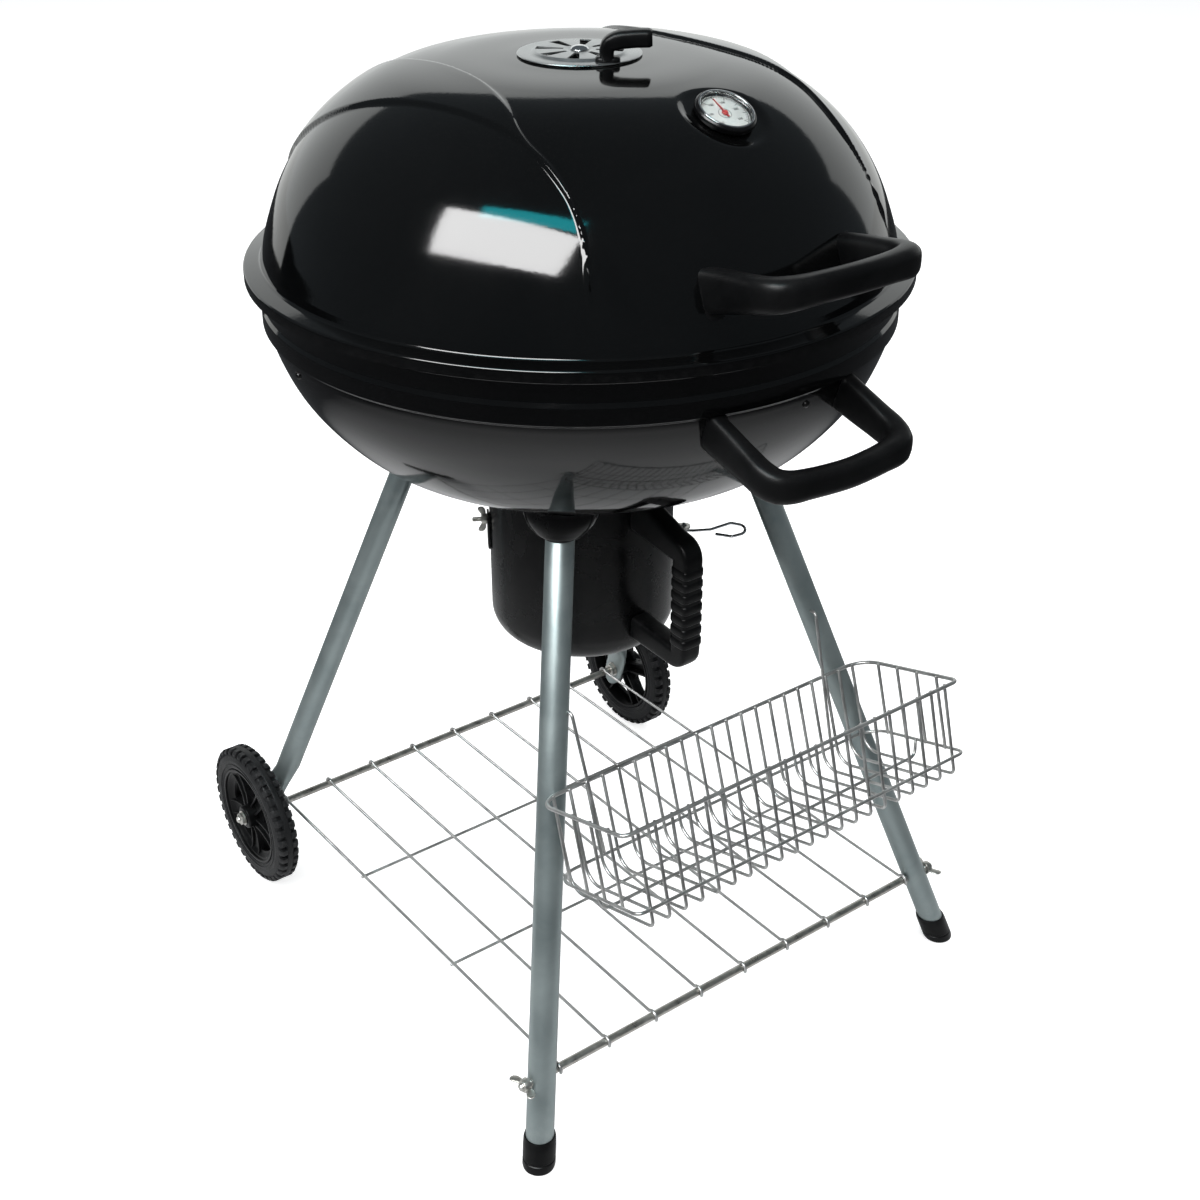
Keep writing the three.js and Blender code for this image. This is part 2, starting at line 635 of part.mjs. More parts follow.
// -- wire shelf: nine long wires hooked over both rods, two cross wires under them
function shelfWire(x) {
  const reach = AXLE_RADIUS + SHELF_WIRE + 0.4;
  const hook = (sy) => [150, 90, 30, -30].map((a) => (
    V(x, sy * (axleY + reach * Math.cos(rad(a))), AXLE_Z + reach * Math.sin(rad(a)))
  ));
  const path = [...hook(-1).reverse(), ...hook(1)];
  return sweep(path, SHELF_WIRE, SHELF_WIRE, V(1, 0, 0), 5);
}
const shelfZ = AXLE_Z + (AXLE_RADIUS + SHELF_WIRE + 0.4) * Math.sin(rad(150));
const shelfParts = [];
for (let k = -4; k <= 4; k += 1) shelfParts.push(shelfWire(k * SHELF_PITCH));
[90, -83].forEach((y) => {
  const reach = 4 * SHELF_PITCH + 2;
  const z = shelfZ - SHELF_WIRE * 1.5;
  shelfParts.push(sweep([V(-reach, y, z), V(reach, y, z)], SHELF_WIRE, SHELF_WIRE, V(0, 0, 1), 5));
});
add(stand, "wire_shelf", union(shelfParts), "wire");

// -- wire basket hanging outside the front legs, leaning with them
const basketUp = basketPoint(0, 0, 1).sub(basketPoint(0, 0, 0));
function basketLoop(half, near, far, up, radius) {
  const corners = [
    basketPoint(-half, near, up), basketPoint(half, near, up),
    basketPoint(half, far, up), basketPoint(-half, far, up),
  ];
  return sweep(rounded(corners, [24, 24, 9, 9], 2, true), radius, radius, basketUp, 5, true);
}
const basketParts = [
  basketLoop(BASKET_HALF, 0, BASKET_WIDTH, 0, BASKET_RIM_WIRE),
  basketLoop(BASKET_HALF - 1, 3, BASKET_WIDTH - 3, -BASKET_LOOP, BASKET_WIRE),
];
for (let i = -5; i <= 5; i += 1) {
  const x = i * 36.8;
  const path = rounded([
    basketPoint(x, 2.2, 0.8), basketPoint(x, 5, -BASKET_DEPTH),
    basketPoint(x, BASKET_WIDTH - 5, -BASKET_DEPTH), basketPoint(x, BASKET_WIDTH - 2.2, 0.8),
  ], [0, 16, 6, 0], 1);
  basketParts.push(sweep(path, BASKET_WIRE, BASKET_WIRE, V(1, 0, 0), 4));
}
[39, 91].forEach((out) => {
  [-1, 1].forEach((sx) => {
    const x = sx * (BASKET_HALF - 2.2);
    const path = [basketPoint(x, out, 0.8), basketPoint(x, out, -BASKET_LOOP - 0.8)];
    basketParts.push(sweep(path, BASKET_WIRE, BASKET_WIRE, V(1, 0, 0), 4));
  });
});
const floorWire = rounded([
  basketPoint(-BASKET_HALF + 3, 65, -BASKET_LOOP + 1), basketPoint(-BASKET_HALF + 6, 65, -BASKET_DEPTH + 2.4),
  basketPoint(BASKET_HALF - 6, 65, -BASKET_DEPTH + 2.4), basketPoint(BASKET_HALF - 3, 65, -BASKET_LOOP + 1),
], [0, 8, 8, 0], 1);
basketParts.push(sweep(floorWire, BASKET_WIRE, BASKET_WIRE, V(0, 1, 0), 4));
[-1, 1].forEach((sx) => {
  const top = basketPoint(sx * HANGER_X, 1.6, HANGER_RISE);
  const path = rounded([
    basketPoint(sx * (HANGER_X - 6), 1.6, -BASKET_LOOP), top, V(top.x, top.y + 14, top.z),
  ], [0, 5, 0], 2);
  basketParts.push(sweep(path, BASKET_WIRE, BASKET_WIRE, V(1, 0, 0), 5));
});
add(grill, "wire_basket", union(basketParts), "wire");

// -- collar, ash pot and clips
const collar = ring([
  [COLLAR_RADIUS - SHEET, COLLAR_BOTTOM], [COLLAR_RADIUS, COLLAR_BOTTOM], [COLLAR_RADIUS, 546],
  [COLLAR_RADIUS + 9, 550], [COLLAR_RADIUS + 9, 580], [COLLAR_RADIUS - SHEET, 580],
], 32);
const leverSlot = (inner, outer, low, high) => raise(
  sector(inner, outer, LEVER_AZIMUTH - LEVER_SWING - 5, LEVER_AZIMUTH + LEVER_SWING + 5, 6), high - low,
).translate([0, 0, low]);
const clips = Object.entries(CLIP_AZIMUTHS);
const stud = (azimuth, radius) => bar(
  polar(COLLAR_RADIUS - SHEET - 3, azimuth, CLIP_Z), polar(POT_RADIUS + 18, azimuth, CLIP_Z), radius, 12,
);
add(bowl, "ash_pot_collar", cut(collar, [
  bowlFilled,
  leverSlot(70, 100, LEVER_Z - 4, LEVER_Z + 4),
  ...clips.map(([, azimuth]) => stud(azimuth, 2.5 + GAP)),
]), "enamel");

const pot = group(grill, "ash_pot_assembly");
const potShell = revolve([
  [0, POT_BOTTOM], [60, POT_BOTTOM], [76, POT_BOTTOM + 6], [86, POT_BOTTOM + 16],
  [POT_RADIUS, POT_BOTTOM + 30], [POT_RADIUS, POT_TOP], [POT_RADIUS - SHEET, POT_TOP],
  [POT_RADIUS - SHEET, POT_BOTTOM + 31], [84.4, POT_BOTTOM + 17.5], [75, POT_BOTTOM + 8],
  [60, POT_BOTTOM + SHEET], [0, POT_BOTTOM + SHEET],
], 32);
add(pot, "ash_pot", cut(potShell, [
  bowlFilled,
  leverSlot(80, 110, LEVER_Z - 5, POT_TOP + 10),
  ...clips.map(([, azimuth]) => box(
    8, 8, POT_TOP - CLIP_Z + 14,
    polar(POT_RADIUS, azimuth, (POT_TOP + CLIP_Z) / 2 + 3),
    new THREE.Quaternion().setFromAxisAngle(V(0, 0, 1), rad(azimuth)),
  )),
]), "enamel");

// ribbed loop handle on the front of the pot
const gripY = -(POT_RADIUS + 68);
const potHandlePath = rounded([
  V(0, -POT_RADIUS + 4, 502), V(0, gripY, 503), V(0, gripY, 392), V(0, -POT_RADIUS + 6, 388),
], [0, 14, 14, 0], 2);
const ribs = [0, 1, 2, 3, 4, 5].map((i) => box(23, 21, 8, V(0, gripY - 1, 412 + i * 15)));
const potFilled = revolve([
  [0, POT_BOTTOM - GAP], [61, POT_BOTTOM - GAP], [77, POT_BOTTOM + 6 - GAP], [87, POT_BOTTOM + 16 - GAP],
  [POT_RADIUS + GAP, POT_BOTTOM + 30], [POT_RADIUS + GAP, 560], [0, 560],
], 32);
add(pot, "ash_pot_handle", union([
  sweep(potHandlePath, 10, 9, V(1, 0, 0), 10), ...ribs,
]).subtract(potFilled), "plastic");

clips.forEach(([side, azimuth]) => {
  const turn = new THREE.Quaternion().setFromAxisAngle(V(0, 0, 1), rad(azimuth));
  const near = POT_RADIUS + GAP;
  const plate = box(2, 16, 40, polar(near + 1, azimuth, CLIP_Z - 12), turn);
  const nutFrom = polar(near + 2 + GAP, azimuth, CLIP_Z);
  const nutTo = polar(near + 8, azimuth, CLIP_Z);
  const wings = [-1, 1].map((way) => (
    box(3, 4, 9, polar(near + 5.5, azimuth, CLIP_Z + way * 9), turn)
  ));
  const head = bar(polar(COLLAR_RADIUS - SHEET - 6, azimuth, CLIP_Z),
    polar(COLLAR_RADIUS - SHEET - 2, azimuth, CLIP_Z), 5, 12);
  add(bowl, `pot_clip_${side}`, plate.subtract(stud(azimuth, 2.5 + GAP)), "blackSteel");
  add(bowl, `pot_clip_stud_${side}`, stud(azimuth, 2.5).add(head), "zinc");
  add(bowl, `pot_clip_wing_nut_${side}`, bar(nutFrom, nutTo, 5.5, 12).add(union(wings))
    .subtract(stud(azimuth, 2.5 + GAP)), "zinc");
});

// -- bottom vent: three blades inside the bowl, turned by a lever that leaves through the collar
const vent = group(grill, "bottom_vent");
const bladeZ = BOWL_BOTTOM + 0.1 + SHEET + GAP + 1.6;
const blades = [0, 1, 2].map((i) => (
  raise(sector(10, 80, 120 * i + 20, 120 * i + 64, 5), 1.6).translate([0, 0, bladeZ])
));
const spindle = bar(V(0, 0, LEVER_Z + 1.4), V(0, 0, bladeZ + 5), 5, 16);
add(vent, "vent_blades", union([
  ...blades, raise(circle(14, 20), 3).translate([0, 0, bladeZ]), spindle,
]), "blackSteel");
const armEnd = polar(100, LEVER_AZIMUTH, LEVER_Z);
const armTurn = new THREE.Quaternion().setFromAxisAngle(V(0, 0, 1), rad(LEVER_AZIMUTH));
add(vent, "vent_arm", cut(union([
  box(96, 10, 2, polar(50, LEVER_AZIMUTH, LEVER_Z), armTurn),
  bar(V(0, 0, LEVER_Z - 1), V(0, 0, LEVER_Z + 1), 11, 20),
  bar(armEnd.clone().setZ(LEVER_Z - 1), armEnd.clone().setZ(LEVER_Z + 1), 6.5, 16),
]), [bar(armEnd.clone().setZ(LEVER_Z - 4), armEnd.clone().setZ(LEVER_Z + 4), 3, 12)]), "zinc");
const pullPoint = (r, across, z) => polar(r, LEVER_AZIMUTH, z)
  .add(polar(across, LEVER_AZIMUTH + 90, 0));
const pullPath = rounded([
  pullPoint(100, 0, LEVER_Z + 4), pullPoint(100, 0, LEVER_Z - 5), pullPoint(110, 0, LEVER_Z - 5),
  pullPoint(126, 0, LEVER_Z - 3), pullPoint(150, 7, LEVER_Z), pullPoint(160, 0, LEVER_Z - 2),
  pullPoint(150, -7, LEVER_Z - 5), pullPoint(130, -2.6, LEVER_Z - 6),
], [0, 4, 4, 8, 8, 6, 8, 0], 2);
add(vent, "vent_lever", sweep(pullPath, 1.5, 1.5, V(0.3, 0.35, 0.9).normalize(), 6), "zinc");

// -- grates
function grate(radius, z, pitch, wire, name) {
  const outer = ring([
    [radius - 5, z - 2.5], [radius, z - 2.5], [radius, z + 2.5], [radius - 5, z + 2.5],
  ], SEGMENTS);
  const rods = [];
  const count = Math.floor((radius - 10) / pitch);
  for (let i = -count; i <= count; i += 1) {
    const y = i * pitch;
    const half = Math.sqrt((radius - 2.5) ** 2 - y * y);
    rods.push(box(2 * half - 1, wire, wire, V(0, y, z + 0.1)));
  }
  [-0.45, 0.45].forEach((share) => {
    const x = share * radius;
    const half = Math.sqrt((radius - 2.5) ** 2 - x * x);
    rods.push(box(wire, 2 * half - 1, wire, V(x, 0, z - 2.3)));
  });
  return add(group(grill, `${name}_body`), name, union([outer, ...rods]), "wire");
}
grate(COOK_GRATE_RADIUS, COOK_GRATE_Z, 32, 4, "cooking_grate");
grate(COAL_GRATE_RADIUS, COAL_GRATE_Z, 40, 6, "charcoal_grate");

// small ledges riveted inside the bowl to carry the cooking grate
[45, 135, 225, 315].forEach((azimuth, i) => {
  const turn = new THREE.Quaternion().setFromAxisAngle(V(0, 0, 1), rad(azimuth));
  const z = COOK_GRATE_Z - 2.5 - GAP;
  const shelf = box(26, 26, 2, polar(271, azimuth, z - 1), turn);
  const back = box(2, 26, 22, polar(281.6, azimuth, z - 12), turn);
  const inside = revolve([...inset(BOWL_PROFILE.slice(0, 13), SHEET + GAP), [0, 734]]);
  add(bowl, `grate_ledge_${["rear_right", "rear_left", "front_left", "front_right"][i]}`,
    shelf.add(back).intersect(inside), "blackSteel");
});

export default grill;
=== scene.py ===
from math import atan, cos, pi, radians, sin, tan

import bmesh
import bpy
import numpy as np
from mathutils import Matrix, Vector


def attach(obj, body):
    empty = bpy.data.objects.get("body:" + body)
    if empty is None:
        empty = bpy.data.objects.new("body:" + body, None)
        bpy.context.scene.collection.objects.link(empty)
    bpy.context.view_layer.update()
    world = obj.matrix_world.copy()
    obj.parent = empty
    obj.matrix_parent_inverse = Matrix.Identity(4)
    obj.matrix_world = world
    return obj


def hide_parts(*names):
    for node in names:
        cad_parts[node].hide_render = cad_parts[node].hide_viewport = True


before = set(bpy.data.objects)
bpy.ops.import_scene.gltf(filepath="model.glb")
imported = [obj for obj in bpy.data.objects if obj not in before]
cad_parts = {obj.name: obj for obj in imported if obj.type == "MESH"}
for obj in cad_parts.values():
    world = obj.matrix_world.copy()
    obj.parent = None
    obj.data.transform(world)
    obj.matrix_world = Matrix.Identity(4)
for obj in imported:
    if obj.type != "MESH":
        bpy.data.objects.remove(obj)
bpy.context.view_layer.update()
mm = 0.001  # shapes are drawn in millimetres and become metres in makePiece
print("frame loaded")


# how shapes are drawn: a shape is its points and its faces

def joined(shapes):
    points, faces, start = [], [], 0
    for shapePoints, shapeFaces in shapes:
        points.append(np.asarray(shapePoints, float))
        faces += [tuple(i + start for i in face) for face in shapeFaces]
        start += len(shapePoints)
    return np.vstack(points), faces


def placed(shape, turn=None, move=(0, 0, 0)):
    points, faces = shape
    if turn is not None:
        points = points @ np.array(turn.to_3x3()).T
    return points + np.array(move), faces


def turned(angle, axis):
    return Matrix.Rotation(radians(angle), 3, axis)


def polar(radius, azimuth, z=0.0):
    return np.array([radius * cos(radians(azimuth)), radius * sin(radians(azimuth)), z])


def unit(vector):
    return vector / np.linalg.norm(vector)


# soft step from 0 to 1
def eased(share):
    return share * share * (3 - 2 * share)


# curve through every point, with more points between them
def curveThrough(points, pieces):
    points = np.asarray(points, float)
    gaps = np.linalg.norm(np.diff(points, axis=0), axis=1)
    ahead = np.diff(points, axis=0) / gaps[:, None]
    tangents = np.empty_like(points)
    tangents[0], tangents[-1] = ahead[0], ahead[-1]
    weight = (gaps[1:] / (gaps[1:] + gaps[:-1]))[:, None]
    tangents[1:-1] = ahead[:-1] * weight + ahead[1:] * (1 - weight)
    line = []
    for i, gap in enumerate(gaps):
        count = pieces if isinstance(pieces, int) else max(2, round(gap / pieces))
        for t in np.arange(count) / count:
            line.append(
                points[i] * (2 * t**3 - 3 * t**2 + 1) + tangents[i] * gap * (t**3 - 2 * t**2 + t)
                + points[i + 1] * (3 * t**2 - 2 * t**3) + tangents[i + 1] * gap * (t**3 - t**2))
    line.append(points[-1])
    return np.array(line)


# straight line with round corners, each corner with its own radius
def bent(points, radii, steps=6):
    points = np.asarray(points, float)
    line = []
    for i, corner in enumerate(points):
        if radii[i] == 0:
            line.append(corner)
            continue
        before = points[i - 1] - corner
        after = points[(i + 1) % len(points)] - corner
        u, v = unit(before), unit(after)
        half = np.arccos(np.clip(u @ v, -1, 1)) / 2
        room = 0.49 * min(np.linalg.norm(before), np.linalg.norm(after))
        run = min(radii[i] / tan(half), room)
        centre = corner + unit(u + v) * run / cos(half)
        first, last = corner + u * run - centre, corner + v * run - centre
        sweep = pi - 2 * half
        for t in np.linspace(0, 1, steps + 1):
            line.append(centre + (first * sin((1 - t) * sweep) + last * sin(t * sweep)) / sin(sweep))
    return np.array(line)


# surface over a row of rings that all have the same number of points
def skin(rings, loop=False, capped=True):
    rings = np.asarray(rings, float)
    rows, across = rings.shape[:2]
    faces = []
    for row in range(rows if loop else rows - 1):
        here, there = row * across, ((row + 1) % rows) * across
        for j in range(across):
            k = (j + 1) % across
            faces.append((here + j, here + k, there + k, there + j))
    if capped and not loop:
        faces += [tuple(range(across)), tuple(range((rows - 1) * across, rows * across))]
    return rings.reshape(-1, 3), faces


def spun(outline, steps=96, closed=True):
    angles = np.arange(steps) * 2 * pi / steps
    around = np.column_stack([np.cos(angles), np.sin(angles)])
    rings = [np.column_stack([around * r, np.full(steps, z)]) for r, z in outline]
    return skin(rings, loop=closed, capped=False)


# rod along a path, with rounded tips
def rod(path, radius, sides=12, loop=False, tip=0.5):
    path = np.asarray(path, float)
    ahead = np.roll(path, -1, 0) - np.roll(path, 1, 0)
    if not loop:
        ahead[0], ahead[-1] = path[1] - path[0], path[-1] - path[-2]
    ahead /= np.linalg.norm(ahead, axis=1)[:, None]
    reach = np.full(len(path), float(radius))
    if not loop and tip:
        headStep, tailStep = ahead[0] * radius * tip, ahead[-1] * radius * tip
        path = np.vstack([path[:1], path[:1] + headStep * 0.35, path[:1] + headStep, path[1:-1],
                          path[-1:] - tailStep, path[-1:] - tailStep * 0.35, path[-1:]])
        ahead = np.vstack([ahead[:1], ahead[:1], ahead[:1], ahead[1:-1], ahead[-1:], ahead[-1:], ahead[-1:]])
        reach = np.full(len(path), float(radius))
        reach[[0, -1]], reach[[1, -2]] = radius * 0.55, radius * 0.88
    side = np.cross(ahead[0], (0, 0, 1) if abs(ahead[0][2]) < 0.9 else (0, 1, 0))
    angles = np.arange(sides) * 2 * pi / sides
    rings = []
    for point, way, r in zip(path, ahead, reach):
        side = unit(side - way * (side @ way))
        up = np.cross(way, side)
        rings.append(point + r * (np.cos(angles)[:, None] * side + np.sin(angles)[:, None] * up))
    return skin(rings, loop=loop)


# flat outline raised between two heights
def prism(outline, low, high):
    outline = np.asarray(outline, float)
    return skin([np.column_stack([outline, np.full(len(outline), z)]) for z in (low, high)])


def block(size, centre=(0, 0, 0), turn=None):
    x, y, z = np.array(size) / 2
    return placed(prism([(-x, -y), (x, -y), (x, y), (-x, y)], -z, z), turn, centre)


# closed ring whose roundness runs from an ellipse (2) to nearly a rectangle (6)
def softRing(centre, side, up, wide, tall, power=2.0, count=32):
    angles = np.arange(count) * 2 * pi / count
    c, s = np.cos(angles), np.sin(angles)
    across = np.sign(c) * np.abs(c) ** (2 / power) * wide
    upward = np.sign(s) * np.abs(s) ** (2 / power) * tall
    return centre + across[:, None] * side + upward[:, None] * up


def offsetLine(line, distance):
    ahead = np.gradient(line, axis=0)
    ahead /= np.linalg.norm(ahead, axis=1)[:, None]
    inner = line - distance * np.column_stack([-ahead[:, 1], ahead[:, 0]])
    inner[line[:, 0] == 0, 0] = 0
    inner[:, 0] = np.maximum(inner[:, 0], 0)
    return inner


# pressed sheet spun round Z: outer line, the same line a thickness inside it, and holes through both
def pressedSheet(outer, thickness, azimuths, isHole=None, push=None):
    inner = offsetLine(outer, thickness)
    around = np.column_stack([np.cos(np.radians(azimuths)), np.sin(np.radians(azimuths))])
    rows, across = len(outer), len(azimuths)
    layers = []
    for line in (outer, inner):
        flat = line[:, None, 0, None] * around[None]
        layers.append(np.dstack([flat, np.repeat(line[:, 1:2], across, axis=1)]))
    if push is not None:
        layers = push(layers, outer, inner, around)
    points = np.vstack([layer.reshape(-1, 3) for layer in layers])
    middleRadius = (outer[1:, 0] + outer[:-1, 0]) / 2
    middleZ = (outer[1:, 1] + outer[:-1, 1]) / 2
    ahead = np.roll(azimuths, -1)
    middleAzimuth = np.where(ahead < azimuths, (azimuths + ahead + 360) / 2, (azimuths + ahead) / 2)
    solid = np.ones((rows - 1, across), bool)
    if isHole is not None:
        solid = ~isHole(middleRadius[:, None], middleZ[:, None], middleAzimuth[None])
    faces, back = [], rows * across
    for i in range(rows - 1):
        for j in range(across):
            if not solid[i, j]:
                continue
            k = (j + 1) % across
            a, b, c, d = i * across + j, i * across + k, (i + 1) * across + k, (i + 1) * across + j
            faces += [(a, b, c, d), (back + a, back + d, back + c, back + b)]
            if i > 0 and not solid[i - 1, j]:
                faces.append((a, back + a, back + b, b))
            if i < rows - 2 and not solid[i + 1, j]:
                faces.append((d, c, back + c, back + d))
            if not solid[i, k]:
                faces.append((b, back + b, back + c, c))
            if not solid[i, j - 1]:
                faces.append((a, d, back + d, back + a))
    for j in range(across):
        k = (j + 1) % across
        for i in (0, rows - 1):
            if outer[i, 0] > 0 and solid[min(i, rows - 2), j]:
                a, b = i * across + j, i * across + k
                faces.append((a, b, back + b, back + a))
    return points, faces


def makePiece(name, shape, body, finish, standsFor=(), crease=38, bevel=0.0):
    points, faces = shape
    mesh = bpy.data.meshes.new(name)
    mesh.from_pydata((points * mm).tolist(), [], faces)
    work = bmesh.new()
    work.from_mesh(mesh)
    bmesh.ops.remove_doubles(work, verts=work.verts, dist=1e-6)
    bmesh.ops.dissolve_degenerate(work, edges=work.edges, dist=1e-7)
    loose = [vert for vert in work.verts if not vert.link_faces]
    bmesh.ops.delete(work, geom=loose, context="VERTS")
    bmesh.ops.recalc_face_normals(work, faces=work.faces)
    work.to_mesh(mesh)
    work.free()
    mesh.shade_smooth()
    mesh.set_sharp_from_angle(angle=radians(crease))
    mesh.materials.append(finish)
    piece = bpy.data.objects.new(name, mesh)
    bpy.context.collection.objects.link(piece)
    if bevel:
        edge = piece.modifiers.new("edges", "BEVEL")
        edge.width, edge.segments, edge.angle_limit = bevel * mm, 2, radians(32)
        edge.harden_normals = True
    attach(piece, body)
    if standsFor:
        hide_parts(*standsFor)
    return piece


# shared effects, each a node group
def newGroup(name, inputs, outputs):
    group = bpy.data.node_groups.new(name, "ShaderNodeTree")
    for label, kind, value in inputs:
        socket = group.interface.new_socket(label, in_out="INPUT", socket_type=kind)
        if value is not None:
            socket.default_value = value
    for label, kind in outputs:
        group.interface.new_socket(label, in_out="OUTPUT", socket_type=kind)
    return group, group.nodes.new("NodeGroupInput"), group.nodes.new("NodeGroupOutput")


def addNode(tree, kind, values=None, **settings):
    node = tree.nodes.new(kind)
    for key, value in settings.items():
        setattr(node, key, value)
    for key, value in (values or {}).items():
        node.inputs[key].default_value = value
    return node


def link(tree, source, target):
    tree.links.new(source, target)


number, vector = "NodeSocketFloat", "NodeSocketVector"


# soft uneven patches, as hands and weather leave them
def makeSmudgeGroup():
    group, given, result = newGroup("smudges", [("Vector", vector, None), ("Scale", number, 9.0)],
                                    [("Mask", number)])
    broad = addNode(group, "ShaderNodeTexNoise", {"Detail": 4.0, "Roughness": 0.6, "Distortion": 0.6})
    spread = addNode(group, "ShaderNodeMapRange", {"From Min": 0.35, "From Max": 0.7})
    link(group, given.outputs["Vector"], broad.inputs["Vector"])
    link(group, given.outputs["Scale"], broad.inputs["Scale"])
    link(group, broad.outputs["Fac"], spread.inputs["Value"])
    link(group, spread.outputs["Result"], result.inputs["Mask"])
    return group


# fine surface grain, stretched along one direction where the metal is drawn or brushed
def makeGrainGroup():
    group, given, result = newGroup(
        "surfaceGrain",
        [("Vector", vector, None), ("Scale", number, 900.0), ("Stretch", vector, (1, 1, 1))],
        [("Height", number), ("Speckle", number)])
    stretch = addNode(group, "ShaderNodeVectorMath", operation="MULTIPLY")
    fine = addNode(group, "ShaderNodeTexNoise", {"Detail": 3.0, "Roughness": 0.65})
    cells = addNode(group, "ShaderNodeTexVoronoi")
    mixed = addNode(group, "ShaderNodeMath", operation="MULTIPLY_ADD")
    mixed.inputs[1].default_value = 0.35
    link(group, given.outputs["Vector"], stretch.inputs[0])
    link(group, given.outputs["Stretch"], stretch.inputs[1])
    for node in (fine, cells):
        link(group, stretch.outputs["Vector"], node.inputs["Vector"])
        link(group, given.outputs["Scale"], node.inputs["Scale"])
    link(group, cells.outputs["Distance"], mixed.inputs[0])
    link(group, fine.outputs["Fac"], mixed.inputs[2])
    link(group, mixed.outputs["Value"], result.inputs["Height"])
    link(group, fine.outputs["Fac"], result.inputs["Speckle"])
    return group


# breaks a mask up with noise between two levels, and scales it by the amount given
def breakUp(group, given, result, mask, noiseValues, low, high):
    noise = addNode(group, "ShaderNodeTexNoise", noiseValues)
    patch = addNode(group, "ShaderNodeMapRange", {"From Min": low, "From Max": high})
    both = addNode(group, "ShaderNodeMath", operation="MULTIPLY")
    scaled = addNode(group, "ShaderNodeMath", operation="MULTIPLY")
    link(group, given.outputs["Vector"], noise.inputs["Vector"])
    link(group, given.outputs["Scale"], noise.inputs["Scale"])
    link(group, noise.outputs["Fac"], patch.inputs["Value"])
    link(group, mask, both.inputs[0])
    link(group, patch.outputs["Result"], both.inputs[1])
    link(group, both.outputs["Value"], scaled.inputs[0])
    link(group, given.outputs["Amount"], scaled.inputs[1])
    link(group, scaled.outputs["Value"], result.inputs["Mask"])


# rubbed outer edges
def makeEdgeWearGroup():
    group, given, result = newGroup(
        "edgeWear", [("Vector", vector, None), ("Scale", number, 120.0), ("Amount", number, 0.4)],
        [("Mask", number)])
    shape = addNode(group, "ShaderNodeNewGeometry")
    edge = addNode(group, "ShaderNodeMapRange", {"From Min": 0.53, "From Max": 0.62})
    link(group, shape.outputs["Pointiness"], edge.inputs["Value"])
    breakUp(group, given, result, edge.outputs["Result"], {"Detail": 5.0, "Roughness": 0.7}, 0.45, 0.62)
    return group


# thin dust on whatever faces up
def makeDustGroup():
    group, given, result = newGroup(
        "dust", [("Vector", vector, None), ("Scale", number, 400.0), ("Amount", number, 0.1)],
        [("Mask", number)])
    shape = addNode(group, "ShaderNodeNewGeometry")
    parts = addNode(group, "ShaderNodeSeparateXYZ")
    upward = addNode(group, "ShaderNodeMapRange", {"From Min": 0.2, "From Max": 1.0})
    link(group, shape.outputs["Normal"], parts.inputs["Vector"])
    link(group, parts.outputs["Z"], upward.inputs["Value"])
    breakUp(group, given, result, upward.outputs["Result"], {"Detail": 6.0, "Roughness": 0.75}, 0.5, 0.75)
    return group


smudgeGroup, grainGroup = makeSmudgeGroup(), makeGrainGroup()
edgeWearGroup, dustGroup = makeEdgeWearGroup(), makeDustGroup()

